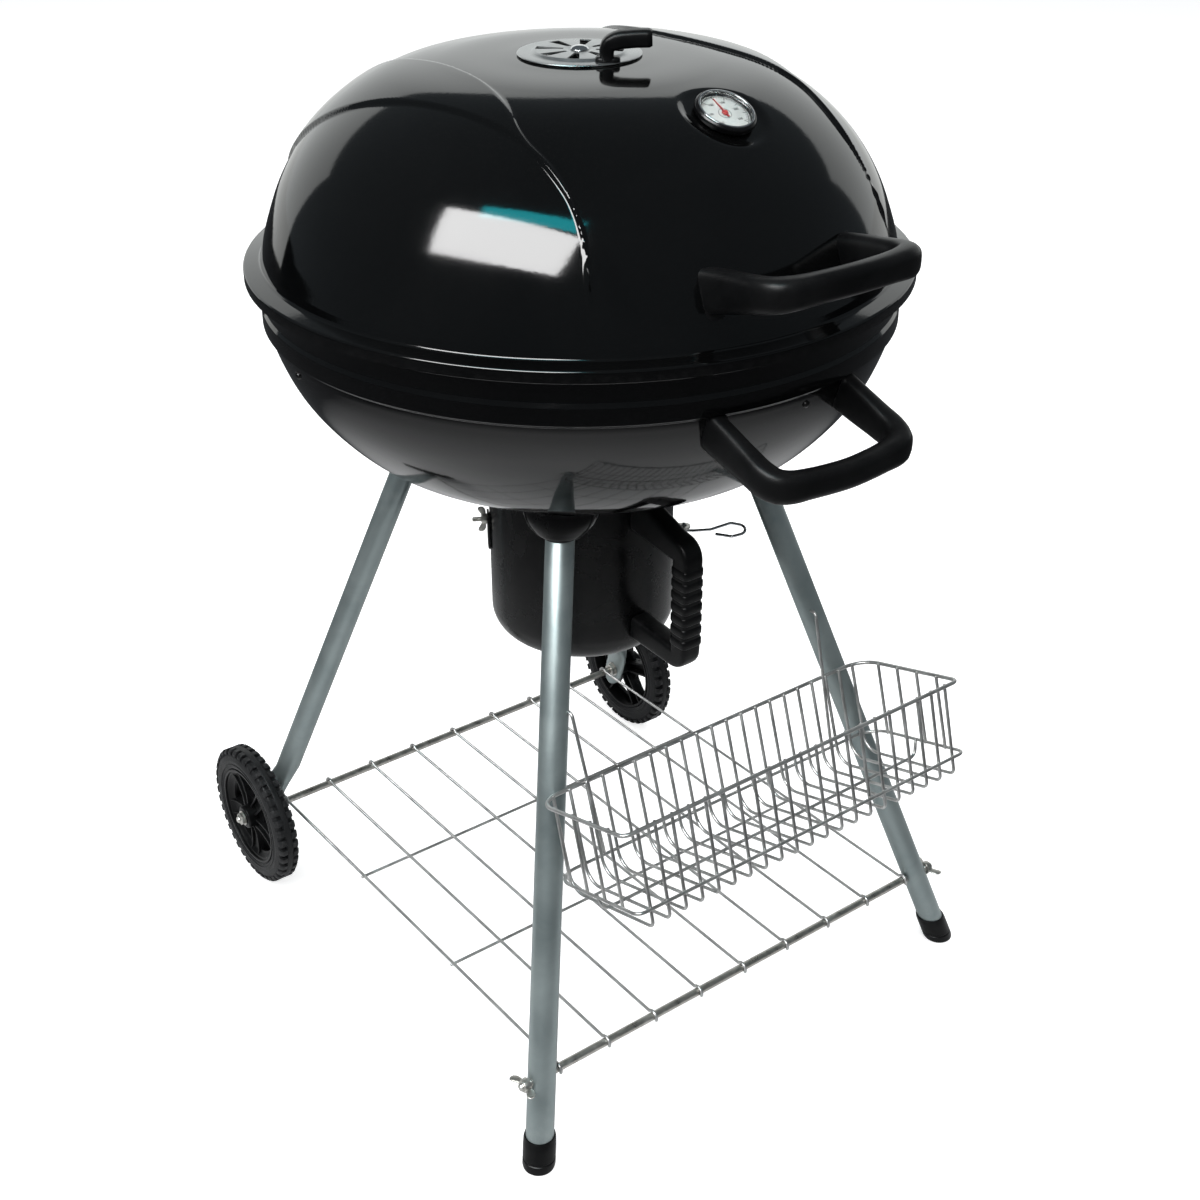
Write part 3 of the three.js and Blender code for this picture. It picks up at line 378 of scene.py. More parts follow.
# what a user would change in each finish: colours, shine, grain size in waves per metre, wear
finishes = {
    "blackEnamel": dict(dark=(0.0012, 0.0013, 0.0014), light=(0.002, 0.0021, 0.0022), metal=0.0,
                        rough=(0.05, 0.1), grain=240, bump=0.018, smudge=7, wear=0.15,
                        worn=(0.04, 0.04, 0.04), dust=0.008, specular=0.42),
    "blackPlastic": dict(dark=(0.003, 0.0031, 0.0034), light=(0.006, 0.0061, 0.0065), metal=0.0,
                         rough=(0.27, 0.38), grain=1500, bump=0.1, smudge=18, wear=0.35,
                         worn=(0.03, 0.03, 0.032), dust=0.02, specular=0.14),
    "wheelTread": dict(dark=(0.005, 0.0053, 0.006), light=(0.011, 0.0115, 0.0125), metal=0.0,
                       rough=(0.38, 0.56), grain=1100, bump=0.22, smudge=30, wear=0.5,
                       worn=(0.05, 0.05, 0.052), dust=0.06, specular=0.2),
    "legPaint": dict(dark=(0.22, 0.262, 0.265), light=(0.3, 0.345, 0.345), metal=0.6,
                     rough=(0.3, 0.42), grain=1600, bump=0.05, smudge=14, wear=0.5,
                     worn=(0.5, 0.5, 0.5), dust=0.05, specular=0.5),
    "platedWire": dict(dark=(0.36, 0.36, 0.355), light=(0.55, 0.55, 0.545), metal=0.85,
                       rough=(0.26, 0.42), grain=900, bump=0.12, smudge=40, wear=0.4,
                       worn=(0.62, 0.6, 0.57), dust=0.08, specular=0.5),
    "chrome": dict(dark=(0.6, 0.61, 0.62), light=(0.72, 0.73, 0.74), metal=1.0,
                   rough=(0.07, 0.16), grain=700, bump=0.02, smudge=60, wear=0.0,
                   worn=(0.8, 0.8, 0.8), dust=0.02, specular=0.5),
    "zincPlate": dict(dark=(0.36, 0.35, 0.32), light=(0.56, 0.55, 0.52), metal=0.95,
                      rough=(0.24, 0.42), grain=1400, bump=0.12, smudge=70, wear=0.4,
                      worn=(0.7, 0.7, 0.68), dust=0.05, specular=0.5),
    "damperAluminium": dict(dark=(0.36, 0.37, 0.37), light=(0.5, 0.51, 0.51), metal=0.95,
                            rough=(0.24, 0.4), grain=900, bump=0.08, smudge=34, wear=0.3,
                            worn=(0.7, 0.7, 0.7), dust=0.04, specular=0.5),
    "dialFace": dict(dark=(0.56, 0.56, 0.54), light=(0.66, 0.66, 0.64), metal=0.0,
                     rough=(0.4, 0.5), grain=900, bump=0.02, smudge=60, wear=0.0,
                     worn=(0.7, 0.7, 0.7), dust=0.0, specular=0.5),
    "dialPrint": dict(dark=(0.01, 0.01, 0.011), light=(0.02, 0.02, 0.02), metal=0.0,
                      rough=(0.45, 0.55), grain=900, bump=0.02, smudge=60, wear=0.0,
                      worn=(0.1, 0.1, 0.1), dust=0.0, specular=0.4),
    "pointerRed": dict(dark=(0.42, 0.02, 0.02), light=(0.55, 0.04, 0.03), metal=0.0,
                       rough=(0.35, 0.45), grain=900, bump=0.02, smudge=60, wear=0.0,
                       worn=(0.6, 0.1, 0.1), dust=0.0, specular=0.5),
    "blackSteel": dict(dark=(0.002, 0.002, 0.0022), light=(0.0045, 0.0045, 0.0048), metal=0.0,
                       rough=(0.2, 0.3), grain=420, bump=0.05, smudge=16, wear=0.6,
                       worn=(0.05, 0.05, 0.05), dust=0.01, specular=0.28),
}
dustColour = (0.3, 0.28, 0.25, 1)
stretches = {"damperAluminium": (1, 1, 0.1), "platedWire": (0.3, 1, 1), "legPaint": (1, 1, 0.35)}


def makeFinish(name, look):
    material = bpy.data.materials.new(name)
    material.use_nodes = True
    tree = material.node_tree
    shader = tree.nodes["Principled BSDF"]
    shader.inputs["Metallic"].default_value = look["metal"]
    shader.inputs["Specular IOR Level"].default_value = look["specular"]
    place = addNode(tree, "ShaderNodeTexCoord")
    effects = {}
    for label, group, values in (
            ("smudge", smudgeGroup, {"Scale": look["smudge"]}),
            ("grain", grainGroup, {"Scale": look["grain"], "Stretch": stretches.get(name, (1, 1, 1))}),
            ("wear", edgeWearGroup, {"Scale": 120.0, "Amount": look["wear"]}),
            ("dust", dustGroup, {"Scale": 380.0, "Amount": look["dust"]})):
        effects[label] = addNode(tree, "ShaderNodeGroup", node_tree=group)
        for key, value in values.items():
            effects[label].inputs[key].default_value = value
        link(tree, place.outputs["Object"], effects[label].inputs["Vector"])
    tone = addNode(tree, "ShaderNodeMix", data_type="RGBA")
    rubbed = addNode(tree, "ShaderNodeMix", data_type="RGBA")
    dusty = addNode(tree, "ShaderNodeMix", data_type="RGBA")
    tone.inputs["A"].default_value = (*look["dark"], 1)
    tone.inputs["B"].default_value = (*look["light"], 1)
    rubbed.inputs["B"].default_value = (*look["worn"], 1)
    dusty.inputs["B"].default_value = dustColour
    link(tree, effects["smudge"].outputs["Mask"], tone.inputs["Factor"])
    link(tree, tone.outputs["Result"], rubbed.inputs["A"])
    link(tree, effects["wear"].outputs["Mask"], rubbed.inputs["Factor"])
    link(tree, rubbed.outputs["Result"], dusty.inputs["A"])
    link(tree, effects["dust"].outputs["Mask"], dusty.inputs["Factor"])
    link(tree, dusty.outputs["Result"], shader.inputs["Base Color"])
    shine = addNode(tree, "ShaderNodeMapRange", {"To Min": look["rough"][0], "To Max": look["rough"][1]})
    speckled = addNode(tree, "ShaderNodeMath", operation="MULTIPLY_ADD")
    speckled.inputs[1].default_value = 0.12 * look["rough"][1]
    link(tree, effects["smudge"].outputs["Mask"], shine.inputs["Value"])
    link(tree, effects["grain"].outputs["Speckle"], speckled.inputs[0])
    link(tree, shine.outputs["Result"], speckled.inputs[2])
    link(tree, speckled.outputs["Value"], shader.inputs["Roughness"])
    bump = addNode(tree, "ShaderNodeBump", {"Strength": look["bump"], "Distance": 0.001})
    link(tree, effects["grain"].outputs["Height"], bump.inputs["Height"])
    link(tree, bump.outputs["Normal"], shader.inputs["Normal"])
    return material


finish = {name: makeFinish(name, look) for name, look in finishes.items()}


def makeGlass():
    material = bpy.data.materials.new("dialGlass")
    material.use_nodes = True
    tree = material.node_tree
    shader = tree.nodes["Principled BSDF"]
    shader.inputs["Base Color"].default_value = (0.96, 0.98, 0.98, 1)
    shader.inputs["IOR"].default_value = 1.45
    shader.inputs["Transmission Weight"].default_value = 1.0
    place = addNode(tree, "ShaderNodeTexCoord")
    smudges = addNode(tree, "ShaderNodeGroup", node_tree=smudgeGroup)
    smudges.inputs["Scale"].default_value = 90.0
    shine = addNode(tree, "ShaderNodeMapRange", {"To Min": 0.01, "To Max": 0.07})
    link(tree, place.outputs["Object"], smudges.inputs["Vector"])
    link(tree, smudges.outputs["Mask"], shine.inputs["Value"])
    link(tree, shine.outputs["Result"], shader.inputs["Roughness"])
    return material


finish["dialGlass"] = makeGlass()
print("finishes made")


# thermometer in the front of the lid; its seat is pressed into the sheet
thermoLook = dict(
    at=(14.0, -175.0, 900.2), tilt=26.0, radius=26.0, dial=21.5, ticks=40, sweep=270.0, sunk=8.5)
lean = turned(thermoLook["tilt"], "X")
thermoAxis = np.array(lean) @ np.array([0, 0, 1.0])


# lid
lidLook = dict(
    sheet=1.4, top=918.0,
    dome=[(66, 917.3), (124, 914), (164, 905.5), (206, 883), (239, 853), (262, 819), (277.5, 781),
          (284.6, 758)],
    flange=[(286.0, 751.2), (301, 748.4), (301, 738.6)], flangeBends=[3.2, 2.4, 0],
    ridgeHeight=2.8, ridgeSlope=2.8, seatDepth=4.0, seatRadius=31.0, seatSlope=10.0, seatLevel=0.55,
    domeFoot=757.9,
    ventIn=18.0, ventOut=36.0, ventHalf=9.0, vents=8,
    # pressed swoosh seen from above on the left side: inner edge from the rear, then outer edge back
    swooshInner=[(-158, 222), (-139, 192), (-122, 150), (-112, 104), (-108.5, 53), (-111.5, 6), (-119, -39),
                 (-126.5, -68), (-135, -95), (-141, -113), (-143.4, -128), (-142, -150), (-141.5, -169),
                 (-145.5, -195), (-149, -210), (-153.5, -220.5), (-158, -226)],
    swooshOuter=[(-159.5, -225.5), (-156.5, -217.5), (-152.5, -209.5), (-149.2, -196), (-147.6, -182),
                 (-148, -165), (-149, -145), (-149.8, -126), (-153.5, -102), (-161, -66), (-170, -26),
                 (-180, 15), (-190, 58), (-197, 94), (-199.5, 139), (-192, 180), (-172, 210)],
)


def lidOutline():
    look = lidLook
    crown = look["dome"][0]
    upper = curveThrough([(-crown[0], crown[1]), (0, look["top"])] + look["dome"], 1.8)
    upper = upper[np.argmin(np.abs(upper[:, 0])):]
    upper[0] = (0, look["top"])
    foot = bent([look["dome"][-1]] + look["flange"], [0] + look["flangeBends"], 6)
    # rows fall exactly on the edges of the vent slots
    rows = upper[(upper[:, 0] < look["ventIn"] - 2) | (upper[:, 0] > look["ventOut"] + 2)]
    heights = [(r, np.interp(r, upper[:, 0], upper[:, 1])) for r in (look["ventIn"], 27, look["ventOut"])]
    rows = np.vstack([rows, heights])
    rows = rows[np.lexsort((-rows[:, 1], rows[:, 0]))]
    return np.vstack([rows, foot[1:]])


def lidAzimuths():
    look = lidLook
    fine = [np.arange(-144, -120, 0.22), np.arange(-60, -36, 0.22)]
    coarse = [np.arange(-36, 216, 0.9), np.arange(-120, -60, 0.9)]
    edges = [i * 360 / look["vents"] + side * look["ventHalf"]
             for i in range(look["vents"]) for side in (-1, 1)]
    every = np.mod(np.concatenate(fine + coarse), 360)
    every = np.array([a for a in every if min(abs((a - e + 180) % 360 - 180) for e in edges) > 0.3])
    return np.unique(np.round(np.concatenate([every, np.mod(edges, 360)]), 4))


def lidVentHole(radius, z, azimuth):
    look = lidLook
    pitch = 360 / look["vents"]
    away = np.abs((azimuth + pitch / 2) % pitch - pitch / 2)
    return (radius > look["ventIn"]) & (radius < look["ventOut"]) & (away < look["ventHalf"])


# how far the swoosh lifts each point; one outline serves both sides of the lid
def swooshLift(points, edge, start, run):
    look = lidLook
    folded = points.copy()
    folded[:, 0] = -np.abs(folded[:, 0])
    offset = folded[:, None] - start[None]
    along = np.clip((offset * run).sum(2) / (run**2).sum(1), 0, 1)
    away = np.linalg.norm(offset - along[..., None] * run, axis=2).min(1)
    a, b = edge, np.roll(edge, -1, 0)
    crosses = (a[None, :, 1] > folded[:, 1:2]) != (b[None, :, 1] > folded[:, 1:2])
    slope = (b[:, 0] - a[:, 0]) / np.where(b[:, 1] == a[:, 1], 1e-9, b[:, 1] - a[:, 1])
    reachX = a[:, 0] + slope * (folded[:, 1:2] - a[:, 1])
    inside = (crosses & (folded[:, :1] < reachX)).sum(1) % 2 == 1
    return look["ridgeHeight"] * eased(np.clip(np.where(inside, away, 0) / look["ridgeSlope"], 0, 1))


# how far the seat of the thermometer lies below the dome at each point
def seatSink(points):
    look = lidLook
    toSeat = points - np.array(thermoLook["at"])
    height = toSeat @ thermoAxis
    fromAxis = np.linalg.norm(toSeat - height[:, None] * thermoAxis, axis=1)
    level = np.minimum(height, 0) * look["seatLevel"] + look["seatDepth"]
    near = np.clip((look["seatRadius"] + look["seatSlope"] - fromAxis) / look["seatSlope"], 0, 1)
    return np.where(points[:, 1] < 0, level * eased(near), 0)


def pressLid(layers, outer, inner, around):
    look = lidLook
    edge = np.vstack([curveThrough(look["swooshInner"], 4), curveThrough(look["swooshOuter"], 4)])
    domeRows = outer[outer[:, 1] > look["domeFoot"]]
    height = np.interp(np.hypot(edge[:, 0], edge[:, 1]), domeRows[:, 0], domeRows[:, 1])
    start = np.column_stack([edge, height])
    run = np.roll(start, -1, 0) - start
    outward = outer - inner
    outward /= np.linalg.norm(outward, axis=1)[:, None]
    for i in range(len(domeRows)):
        lift = swooshLift(layers[0][i], edge, start, run)
        sink = seatSink(layers[0][i])
        for layer in layers:
            layer[i, :, :2] += around * (outward[i, 0] * lift)[:, None]
            layer[i, :, 2] += outward[i, 1] * lift
            layer[i] -= sink[:, None] * thermoAxis
    return layers


lidShape = pressedSheet(lidOutline(), lidLook["sheet"], lidAzimuths(), lidVentHole, pressLid)
makePiece("lid", lidShape, "lid", finish["blackEnamel"], ["lid_shell"], crease=50)
print("lid made")


# bowl
bowlLook = dict(
    sheet=1.4,
    belly=[(0, 549), (84, 550.5), (138, 556.5), (178, 567), (212, 584), (243, 613), (264, 642), (279, 676),
           (284.0, 692)],
    rim=[(284.4, 694.4), (288.5, 697.4), (288.5, 712.4), (286.4, 716.4), (286.8, 733.4), (295.2, 735.4),
         (296.5, 741), (294.2, 745.8), (286, 746.3)],
    rimBends=[1.2, 1.6, 1.6, 1.6, 2.2, 2.0, 3, 1.6, 0],
    slotIn=24.0, slotOut=76.0, slotHalf=20.0, screwZ=684.0, screwAzimuths=(175, -86, 5, 94),
)


def bowlHeight(radius):
    belly = np.array(bowlLook["belly"])
    return np.interp(radius, belly[:, 0], belly[:, 1])


def bowlRadius(z):
    belly = np.array(bowlLook["belly"])
    return np.interp(z, belly[:, 1], belly[:, 0])


def bowlOutline():
    look = bowlLook
    belly = curveThrough([(-84, 550.5)] + look["belly"], 4.0)
    belly = belly[np.argmin(np.abs(belly[:, 0])):]
    belly[0] = look["belly"][0]
    belly = belly[(belly[:, 0] < look["slotIn"] - 2) | (belly[:, 0] > look["slotIn"] + 2)]
    belly = belly[(belly[:, 0] < look["slotOut"] - 2) | (belly[:, 0] > look["slotOut"] + 2)]
    edges = [(r, bowlHeight(r)) for r in (look["slotIn"], look["slotOut"])]
    belly = np.vstack([belly, edges])
    belly = belly[np.argsort(belly[:, 0])]
    rim = bent([look["belly"][-1]] + look["rim"], [0] + look["rimBends"], 5)
    return np.vstack([belly, rim[1:]])


def bowlHole(radius, z, azimuth):
    look = bowlLook
    away = np.abs((azimuth + 60) % 120 - 60)
    return (radius > look["slotIn"]) & (radius < look["slotOut"]) & (away < look["slotHalf"])


bowlAzimuths = np.arange(0, 360, 1.0)
bowlShape = pressedSheet(bowlOutline(), -bowlLook["sheet"], bowlAzimuths, bowlHole)
makePiece("bowl", bowlShape, "bowl", finish["blackEnamel"], ["bowl_shell"], crease=50)

screwHead = spun([(0, 2.2), (1.8, 2.0), (3.2, 1.2), (3.6, 0.1), (3.6, -0.6), (0, -0.6)], 20, closed=False)
screws = []
for azimuth in bowlLook["screwAzimuths"]:
    at = polar(bowlRadius(bowlLook["screwZ"]) + 0.1, azimuth, bowlLook["screwZ"])
    screws.append(placed(screwHead, turned(azimuth, "Z") @ turned(104, "Y"), at))
makePiece("bowl_screws", joined(screws), "bowl", finish["blackSteel"], crease=35)
print("bowl made")


# carrying handles of lid and bowl
handleLook = dict(
    # across, out from the wall, half width, half height, squareness
    stops=[(71, -15, 9.4, 18.6, 3.2), (71, 2, 9.0, 18.2, 3.2), (71.2, 20, 8.8, 17.4, 3.1),
           (71.6, 44, 9.4, 15.6, 3.0), (71, 62, 10.4, 14.4, 3.0), (66.5, 72, 11.2, 13.6, 3.0),
           (57, 77, 10.8, 12.8, 2.9), (42, 79.6, 9.8, 12.2, 2.8), (20, 82, 9.4, 12.0, 2.8),
           (0, 83, 9.3, 12.0, 2.8)],
    lid=dict(wall=-262.0, z=795.0, rise=18.0), bowl=dict(wall=-271.0, z=680.0, rise=-25.0),
)


def handleShape(seat, backAt):
    look = handleLook
    halfStops = np.array(look["stops"])
    rest = halfStops[-2::-1] * np.array([-1, 1, 1, 1, 1])
    line = curveThrough(np.vstack([halfStops, rest]), 5.0)
    rings = []
    for i, (x, out, wide, tall, power) in enumerate(line):
        before, after = line[max(i - 1, 0)], line[min(i + 1, len(line) - 1)]
        ahead = unit(np.array([after[0] - before[0], -(after[1] - before[1]), 0]))
        side = np.array([ahead[1], -ahead[0], 0])
        z = seat["z"] + seat["rise"] * out / 84
        centre = np.array([x, seat["wall"] - out, z])
        ring = softRing(centre, side, np.array([0, 0, 1.0]), wide, tall, power, 40)
        reach = np.sqrt(np.maximum(backAt(ring[:, 2]) ** 2 - ring[:, 0] ** 2, 0))
        ring[:, 1] = np.minimum(ring[:, 1], -reach)
        rings.append(ring)
    return skin(rings)


def lidWallRadius(z):
    dome = np.array(lidLook["dome"][::-1])
    return np.interp(z, dome[:, 1], dome[:, 0]) + 0.35


def bowlWallRadius(z):
    return bowlRadius(z) + 0.35


for part, backAt, old in (("lid", lidWallRadius, "lid_handle"), ("bowl", bowlWallRadius, "bowl_handle")):
    shape = handleShape(handleLook[part], backAt)
    makePiece(part + "_grip", shape, part, finish["blackPlastic"], [old], crease=60)
print("handles made")


# damper on top of the lid
damperLook = dict(radius=54.0, base=918.3, slotIn=14.0, slotOut=38.0, slotHalf=8.0, tab=(45.0, -95.0),
                  gripReach=37.0, gripAzimuth=-38.0)


def damperShape():
    look = damperLook
    r, base = look["radius"], look["base"]
    line = np.array([(5, base + 3.0), (9, base + 3.0), (10.5, base + 3.5), (14, base + 3.7), (27, base + 3.7),
                     (38, base + 3.7), (39.3, base + 3.5), (40.8, base + 2.5), (41.8, base + 1.9),
                     (45, base + 1.6), (r - 1.4, base + 1.6), (r - 0.4, base + 1.3), (r, base + 0.8)])
    pitch, count = 45, 24
    azimuths = []
    for i in range(8):
        azimuths += list(i * pitch + np.concatenate([
            np.linspace(-8, 8, count // 2), np.linspace(8, 37, count)[1:-1]]))
    azimuths = np.unique(np.round(np.mod(azimuths, 360), 4))

    def hole(radius, z, azimuth):
        away = np.abs((azimuth + pitch / 2) % pitch - pitch / 2)
        return (radius > look["slotIn"]) & (radius < look["slotOut"]) & (away < look["slotHalf"])
    return pressedSheet(line, 1.2, azimuths, hole)


makePiece("damper_plate", damperShape(), "damper", finish["damperAluminium"],
          ["damper_disc"], crease=30)

base = damperLook["base"]
rivetShape = spun([
    (0, base + 7.2), (3.5, base + 6.9), (6.4, base + 5.8), (8, base + 4.2), (8, base + 3.7),
    (4.4, base + 3.6), (4.4, base - 3.4), (8.4, base - 3.6), (8.4, base - 6.2), (0, base - 6.2)], 40, False)
makePiece("damper_pin", rivetShape, "lid", finish["chrome"], ["damper_rivet"], crease=40)


def knobShape():
    look = damperLook
    root = polar(*look["tab"], look["base"] + 1.9)
    toward = polar(1, look["gripAzimuth"])
    side = np.cross((0, 0, 1), toward)
    foot = []
    for z, wide, deep in ((0, 10.5, 6.5), (2.4, 10.5, 6.5), (3.6, 9.5, 5.5), (4.0, 7, 4.5)):
        foot.append(softRing(root + (0, 0, z), toward, side, wide, deep, 3.2, 28))
    path = curveThrough([root + (0, 0, 1), root + (0, 0, 8) - toward, root + (0, 0, 13) + toward * 0.5,
                         root + (0, 0, 16.6) + toward * 7, root + (0, 0, 18.2) + toward * 18,
                         root + (0, 0, 19.0) + toward * look["gripReach"]], 2.5)
    rings = []
    for i, point in enumerate(path):
        ahead = unit(path[min(i + 1, len(path) - 1)] - path[max(i - 1, 0)])
        up = unit(np.cross(ahead, side))
        share = i / (len(path) - 1)
        grown = min(share / 0.4, 1)
        wide, tall = 7.0 + 1.2 * grown, 5.6 + 1.8 * grown
        if i == len(path) - 1:
            wide, tall = wide - 1.2, tall - 1.2
        rings.append(softRing(point, side, up, wide, tall, 3.6, 28))
    return joined([skin(foot), skin(rings)])


makePiece("damper_grip", knobShape(), "damper", finish["blackPlastic"], ["damper_knob"],
          crease=50)
print("damper made")


# thermometer
def onThermometer(shape):
    return placed(shape, lean, np.array(thermoLook["at"]) - thermoLook["sunk"] * thermoAxis)


def thermometerPieces():
    r, dial = thermoLook["radius"], thermoLook["dial"]
    case = spun(bent([(4.6, 5), (r - 3, 5), (r, 6.5), (r, 10.5), (r - 1.6, 12.6), (r - 4.1, 12.6),
                      (r - 4.1, 6.2), (4.6, 6.2)], [0, 1.5, 1.5, 2.2, 1.2, 0.8, 0, 0], 5), 96)
    makePiece("thermometer_bezel", onThermometer(case), "lid", finish["blackSteel"],
              ["thermometer_case"], crease=35)
    trim = spun(bent([(r - 4.0, 11.6), (r - 2.7, 11.6), (r - 2.2, 12.9), (r - 3.4, 13.1), (r - 4.0, 12.8)],
                     [0.2, 0.2, 0.4, 0.4, 0.3], 3), 96)
    makePiece("thermometer_trim", onThermometer(trim), "lid", finish["chrome"], crease=40)
    face = spun([(1.5, 6.3), (dial, 6.3), (dial, 7.1), (dial - 0.3, 7.3), (1.5, 7.3)], 96)
    makePiece("thermometer_face", onThermometer(face), "lid", finish["dialFace"],
              ["thermometer_dial"], crease=35)
    marks = [spun([(19.6, 7.3), (20.1, 7.3), (20.1, 7.42), (19.6, 7.42)], 96),
             spun([(5.2, 7.3), (5.6, 7.3), (5.6, 7.42), (5.2, 7.42)], 48)]
    for i in range(thermoLook["ticks"] + 1):
        azimuth = 225 - thermoLook["sweep"] * i / thermoLook["ticks"]
        length = 3.2 if i % 5 == 0 else 1.6
        wide = 0.55 if i % 5 == 0 else 0.28
        marks.append(block((length, wide, 0.14), polar(19.4 - length / 2, azimuth, 7.36),
                           turned(azimuth, "Z")))
    makePiece("thermometer_marks", onThermometer(joined(marks)), "lid", finish["dialPrint"],
              crease=30)
    glass = spun([(0, 12.3), (8, 12.2), (15, 11.9), (dial + 0.2, 11.4), (dial + 0.2, 10.6), (0, 10.6)],
                 96, False)
    makePiece("thermometer_window", onThermometer(glass), "lid", finish["dialGlass"],
              ["thermometer_glass"], crease=40)
    hub = spun([(0, 9.3), (1.8, 9.2), (2.7, 8.4), (2.7, 7.6), (0, 7.6)], 32, False)
    arm = prism([(-0.9, -5), (0.9, -5), (0.75, 4), (0.15, 17), (-0.15, 17), (-0.75, 4)], 7.8, 8.5)
    makePiece("thermometer_pointer", onThermometer(joined([hub, arm])), "thermometer_pointer",
              finish["pointerRed"], ["thermometer_needle"], crease=35, bevel=0.1)


def dialNumbers():
    pieces = []
    for i, label in enumerate(("50", "100", "150", "200", "250", "300")):
        azimuth = radians(225 - 54 * i)
        text = bpy.data.curves.new("number" + label, "FONT")
        text.body, text.size = label, 3.4 * mm
        text.align_x, text.align_y, text.extrude = "CENTER", "CENTER", 0.06 * mm
        shown = bpy.data.objects.new("number" + label, text)
        shown.location = (12.8 * mm * cos(azimuth), 12.8 * mm * sin(azimuth), 7.36 * mm)
        bpy.context.collection.objects.link(shown)
        bpy.context.view_layer.update()
        mesh = bpy.data.meshes.new_from_object(shown.evaluated_get(bpy.context.evaluated_depsgraph_get()))
        points = np.array([shown.matrix_world @ vert.co for vert in mesh.vertices]) / mm
        pieces.append((points, [tuple(face.vertices) for face in mesh.polygons]))
        bpy.data.objects.remove(shown)
    makePiece("thermometer_numbers", onThermometer(joined(pieces)), "lid", finish["dialPrint"],
              crease=30)


thermometerPieces()
dialNumbers()
probe = spun([(0, -70), (1.2, -69.6), (2.2, -67.5), (2.2, -14), (4, -12), (4, -3.7), (0, -3.7)], 32, False)
makePiece("thermometer_probe", placed(probe, lean, thermoLook["at"]), "lid", finish["chrome"],
          ["thermometer_stem"], crease=40)
print("thermometer made")


# legs, their sockets and feet
legLook = dict(radius=12.7, footX=265.5, footY=284.5, slopeX=0.27985, slopeY=0.30224, top=553.0,
               socketFoot=540.5, capHeight=28.0, capRadius=15.4, axleZ=79.0)
corners = [("front_left", -1, -1), ("front_right", 1, -1), ("rear_left", -1, 1), ("rear_right", 1, 1)]
flatX, flatY, plumb = np.array([1.0, 0, 0]), np.array([0, 1.0, 0]), np.array([0, 0, 1.0])


def legX(z):
    return legLook["footX"] - legLook["slopeX"] * z


def legY(z):
    return legLook["footY"] - legLook["slopeY"] * z


def legPoint(sx, sy, z):
    return np.array([sx * legX(z), sy * legY(z), z])


axleX, axleY = legX(legLook["axleZ"]), legY(legLook["axleZ"])


def frontLeg(sx):
    r = legLook["radius"]
    rings = []
    for z, share in ((4.2, 0.9), (5.0, 1), (60, 1), (300, 1), (legLook["top"] - 1, 1),
                     (legLook["top"], 0.94)):
        rings.append(softRing(legPoint(sx, -1, z), flatX, flatY, r * 1.04 * share, r * 1.045 * share, 2, 40))
    return skin(rings)


# tube that is pressed into a pointed tongue where the axle passes
def rearLeg(sx):
    r = legLook["radius"]
    tongue = [(54.2, 2.0, 3.5), (56.5, 2.5, 7.5), (62, 2.6, 12.5), (69, 2.6, 15.2), (82, 2.6, 16),
              (97, 2.7, 16)]
    stops = [(z, axleX, thick, wide, 3.4) for z, thick, wide in tongue]
    for z, thick, wide in ((106, 4.2, 15.9), (116, 7.6, 15.2), (127, 11.2, 14.2), (138, r * 1.04, r * 1.045)):
        blend = (z - 97) / 41
        x = axleX * (1 - blend) + legX(z) * blend
        stops.append((z, x, thick, wide, 3.4 - 1.4 * blend))
    for z in (150, 300, 450, legLook["top"] - 1, legLook["top"]):
        share = 0.94 if z == legLook["top"] else 1
        stops.append((z, legX(z), r * 1.04 * share, r * 1.045 * share, 2.0))
    rings = []
    for z, x, thick, wide, power in stops:
        centre = legPoint(sx, 1, z)
        centre[0] = sx * x
        rings.append(softRing(centre, flatX * sx, flatY, thick, wide, power, 40))
    return skin(rings)


# flared cup that ends on the underside of the bowl
def socketShape(sx, sy):
    out = unit(np.array([sx, sy, 0.0]))
    across = np.array([-out[1], out[0], 0])
    stops = curveThrough([(legLook["socketFoot"], 15.0, 14.8), (legLook["socketFoot"] + 1.2, 18.5, 16.6),
                          (546, 24.5, 19), (551, 29.5, 21.5), (558, 33.2, 24.5), (567, 35.6, 27)], 3)
    rings = [softRing(legPoint(sx, sy, z), across, out, wide, deep, 2.2, 48)
             for z, wide, deep in [*stops, (575, 36.5, 28)]]
    for ring in rings:
        underside = bowlHeight(np.hypot(ring[:, 0], ring[:, 1])) - 0.4
        ring[:, 2] = np.minimum(ring[:, 2], underside)
    lip = [rings[i][4] for i in range(len(rings) - 1, 0, -1)]
    lip += [rings[0][j] for j in range(4, 21)] + [rings[i][20] for i in range(1, len(rings))]
    return joined([skin(rings), rod(lip, 0.8, 8), rod(rings[0], 0.9, 8, loop=True)])


for name, sx, sy in corners:
    tube = frontLeg(sx) if sy < 0 else rearLeg(sx)
    makePiece("tube_" + name, tube, "bowl", finish["legPaint"], ["leg_" + name], crease=45)
    makePiece("socket_" + name, socketShape(sx, sy), "bowl", finish["blackSteel"],
              ["leg_socket_" + name], crease=50)

for name, sx, sy in corners[:2]:
    r, high = legLook["capRadius"], legLook["capHeight"]
    rings = []
    for z, share in ((0, 0.86), (1.2, 0.96), (3, 1), (8, 1), (8.6, 0.965), (9.4, 0.965), (10, 1),
                     (high - 7, 1), (high - 2, 0.985), (high, 0.95), (high, 0.86)):
        rings.append(softRing(legPoint(sx, sy, z), flatX, flatY, r * share, r * share, 2, 48))
    makePiece("foot_" + name, skin(rings), "bowl", finish["blackPlastic"],
              ["foot_cap_" + name], crease=30)
print("legs made")


# cross bar, axle and their nuts
rodLook = dict(radius=4.0, barEnd=268.0, axleEnd=286.0, thread=13.0, pitch=1.4)


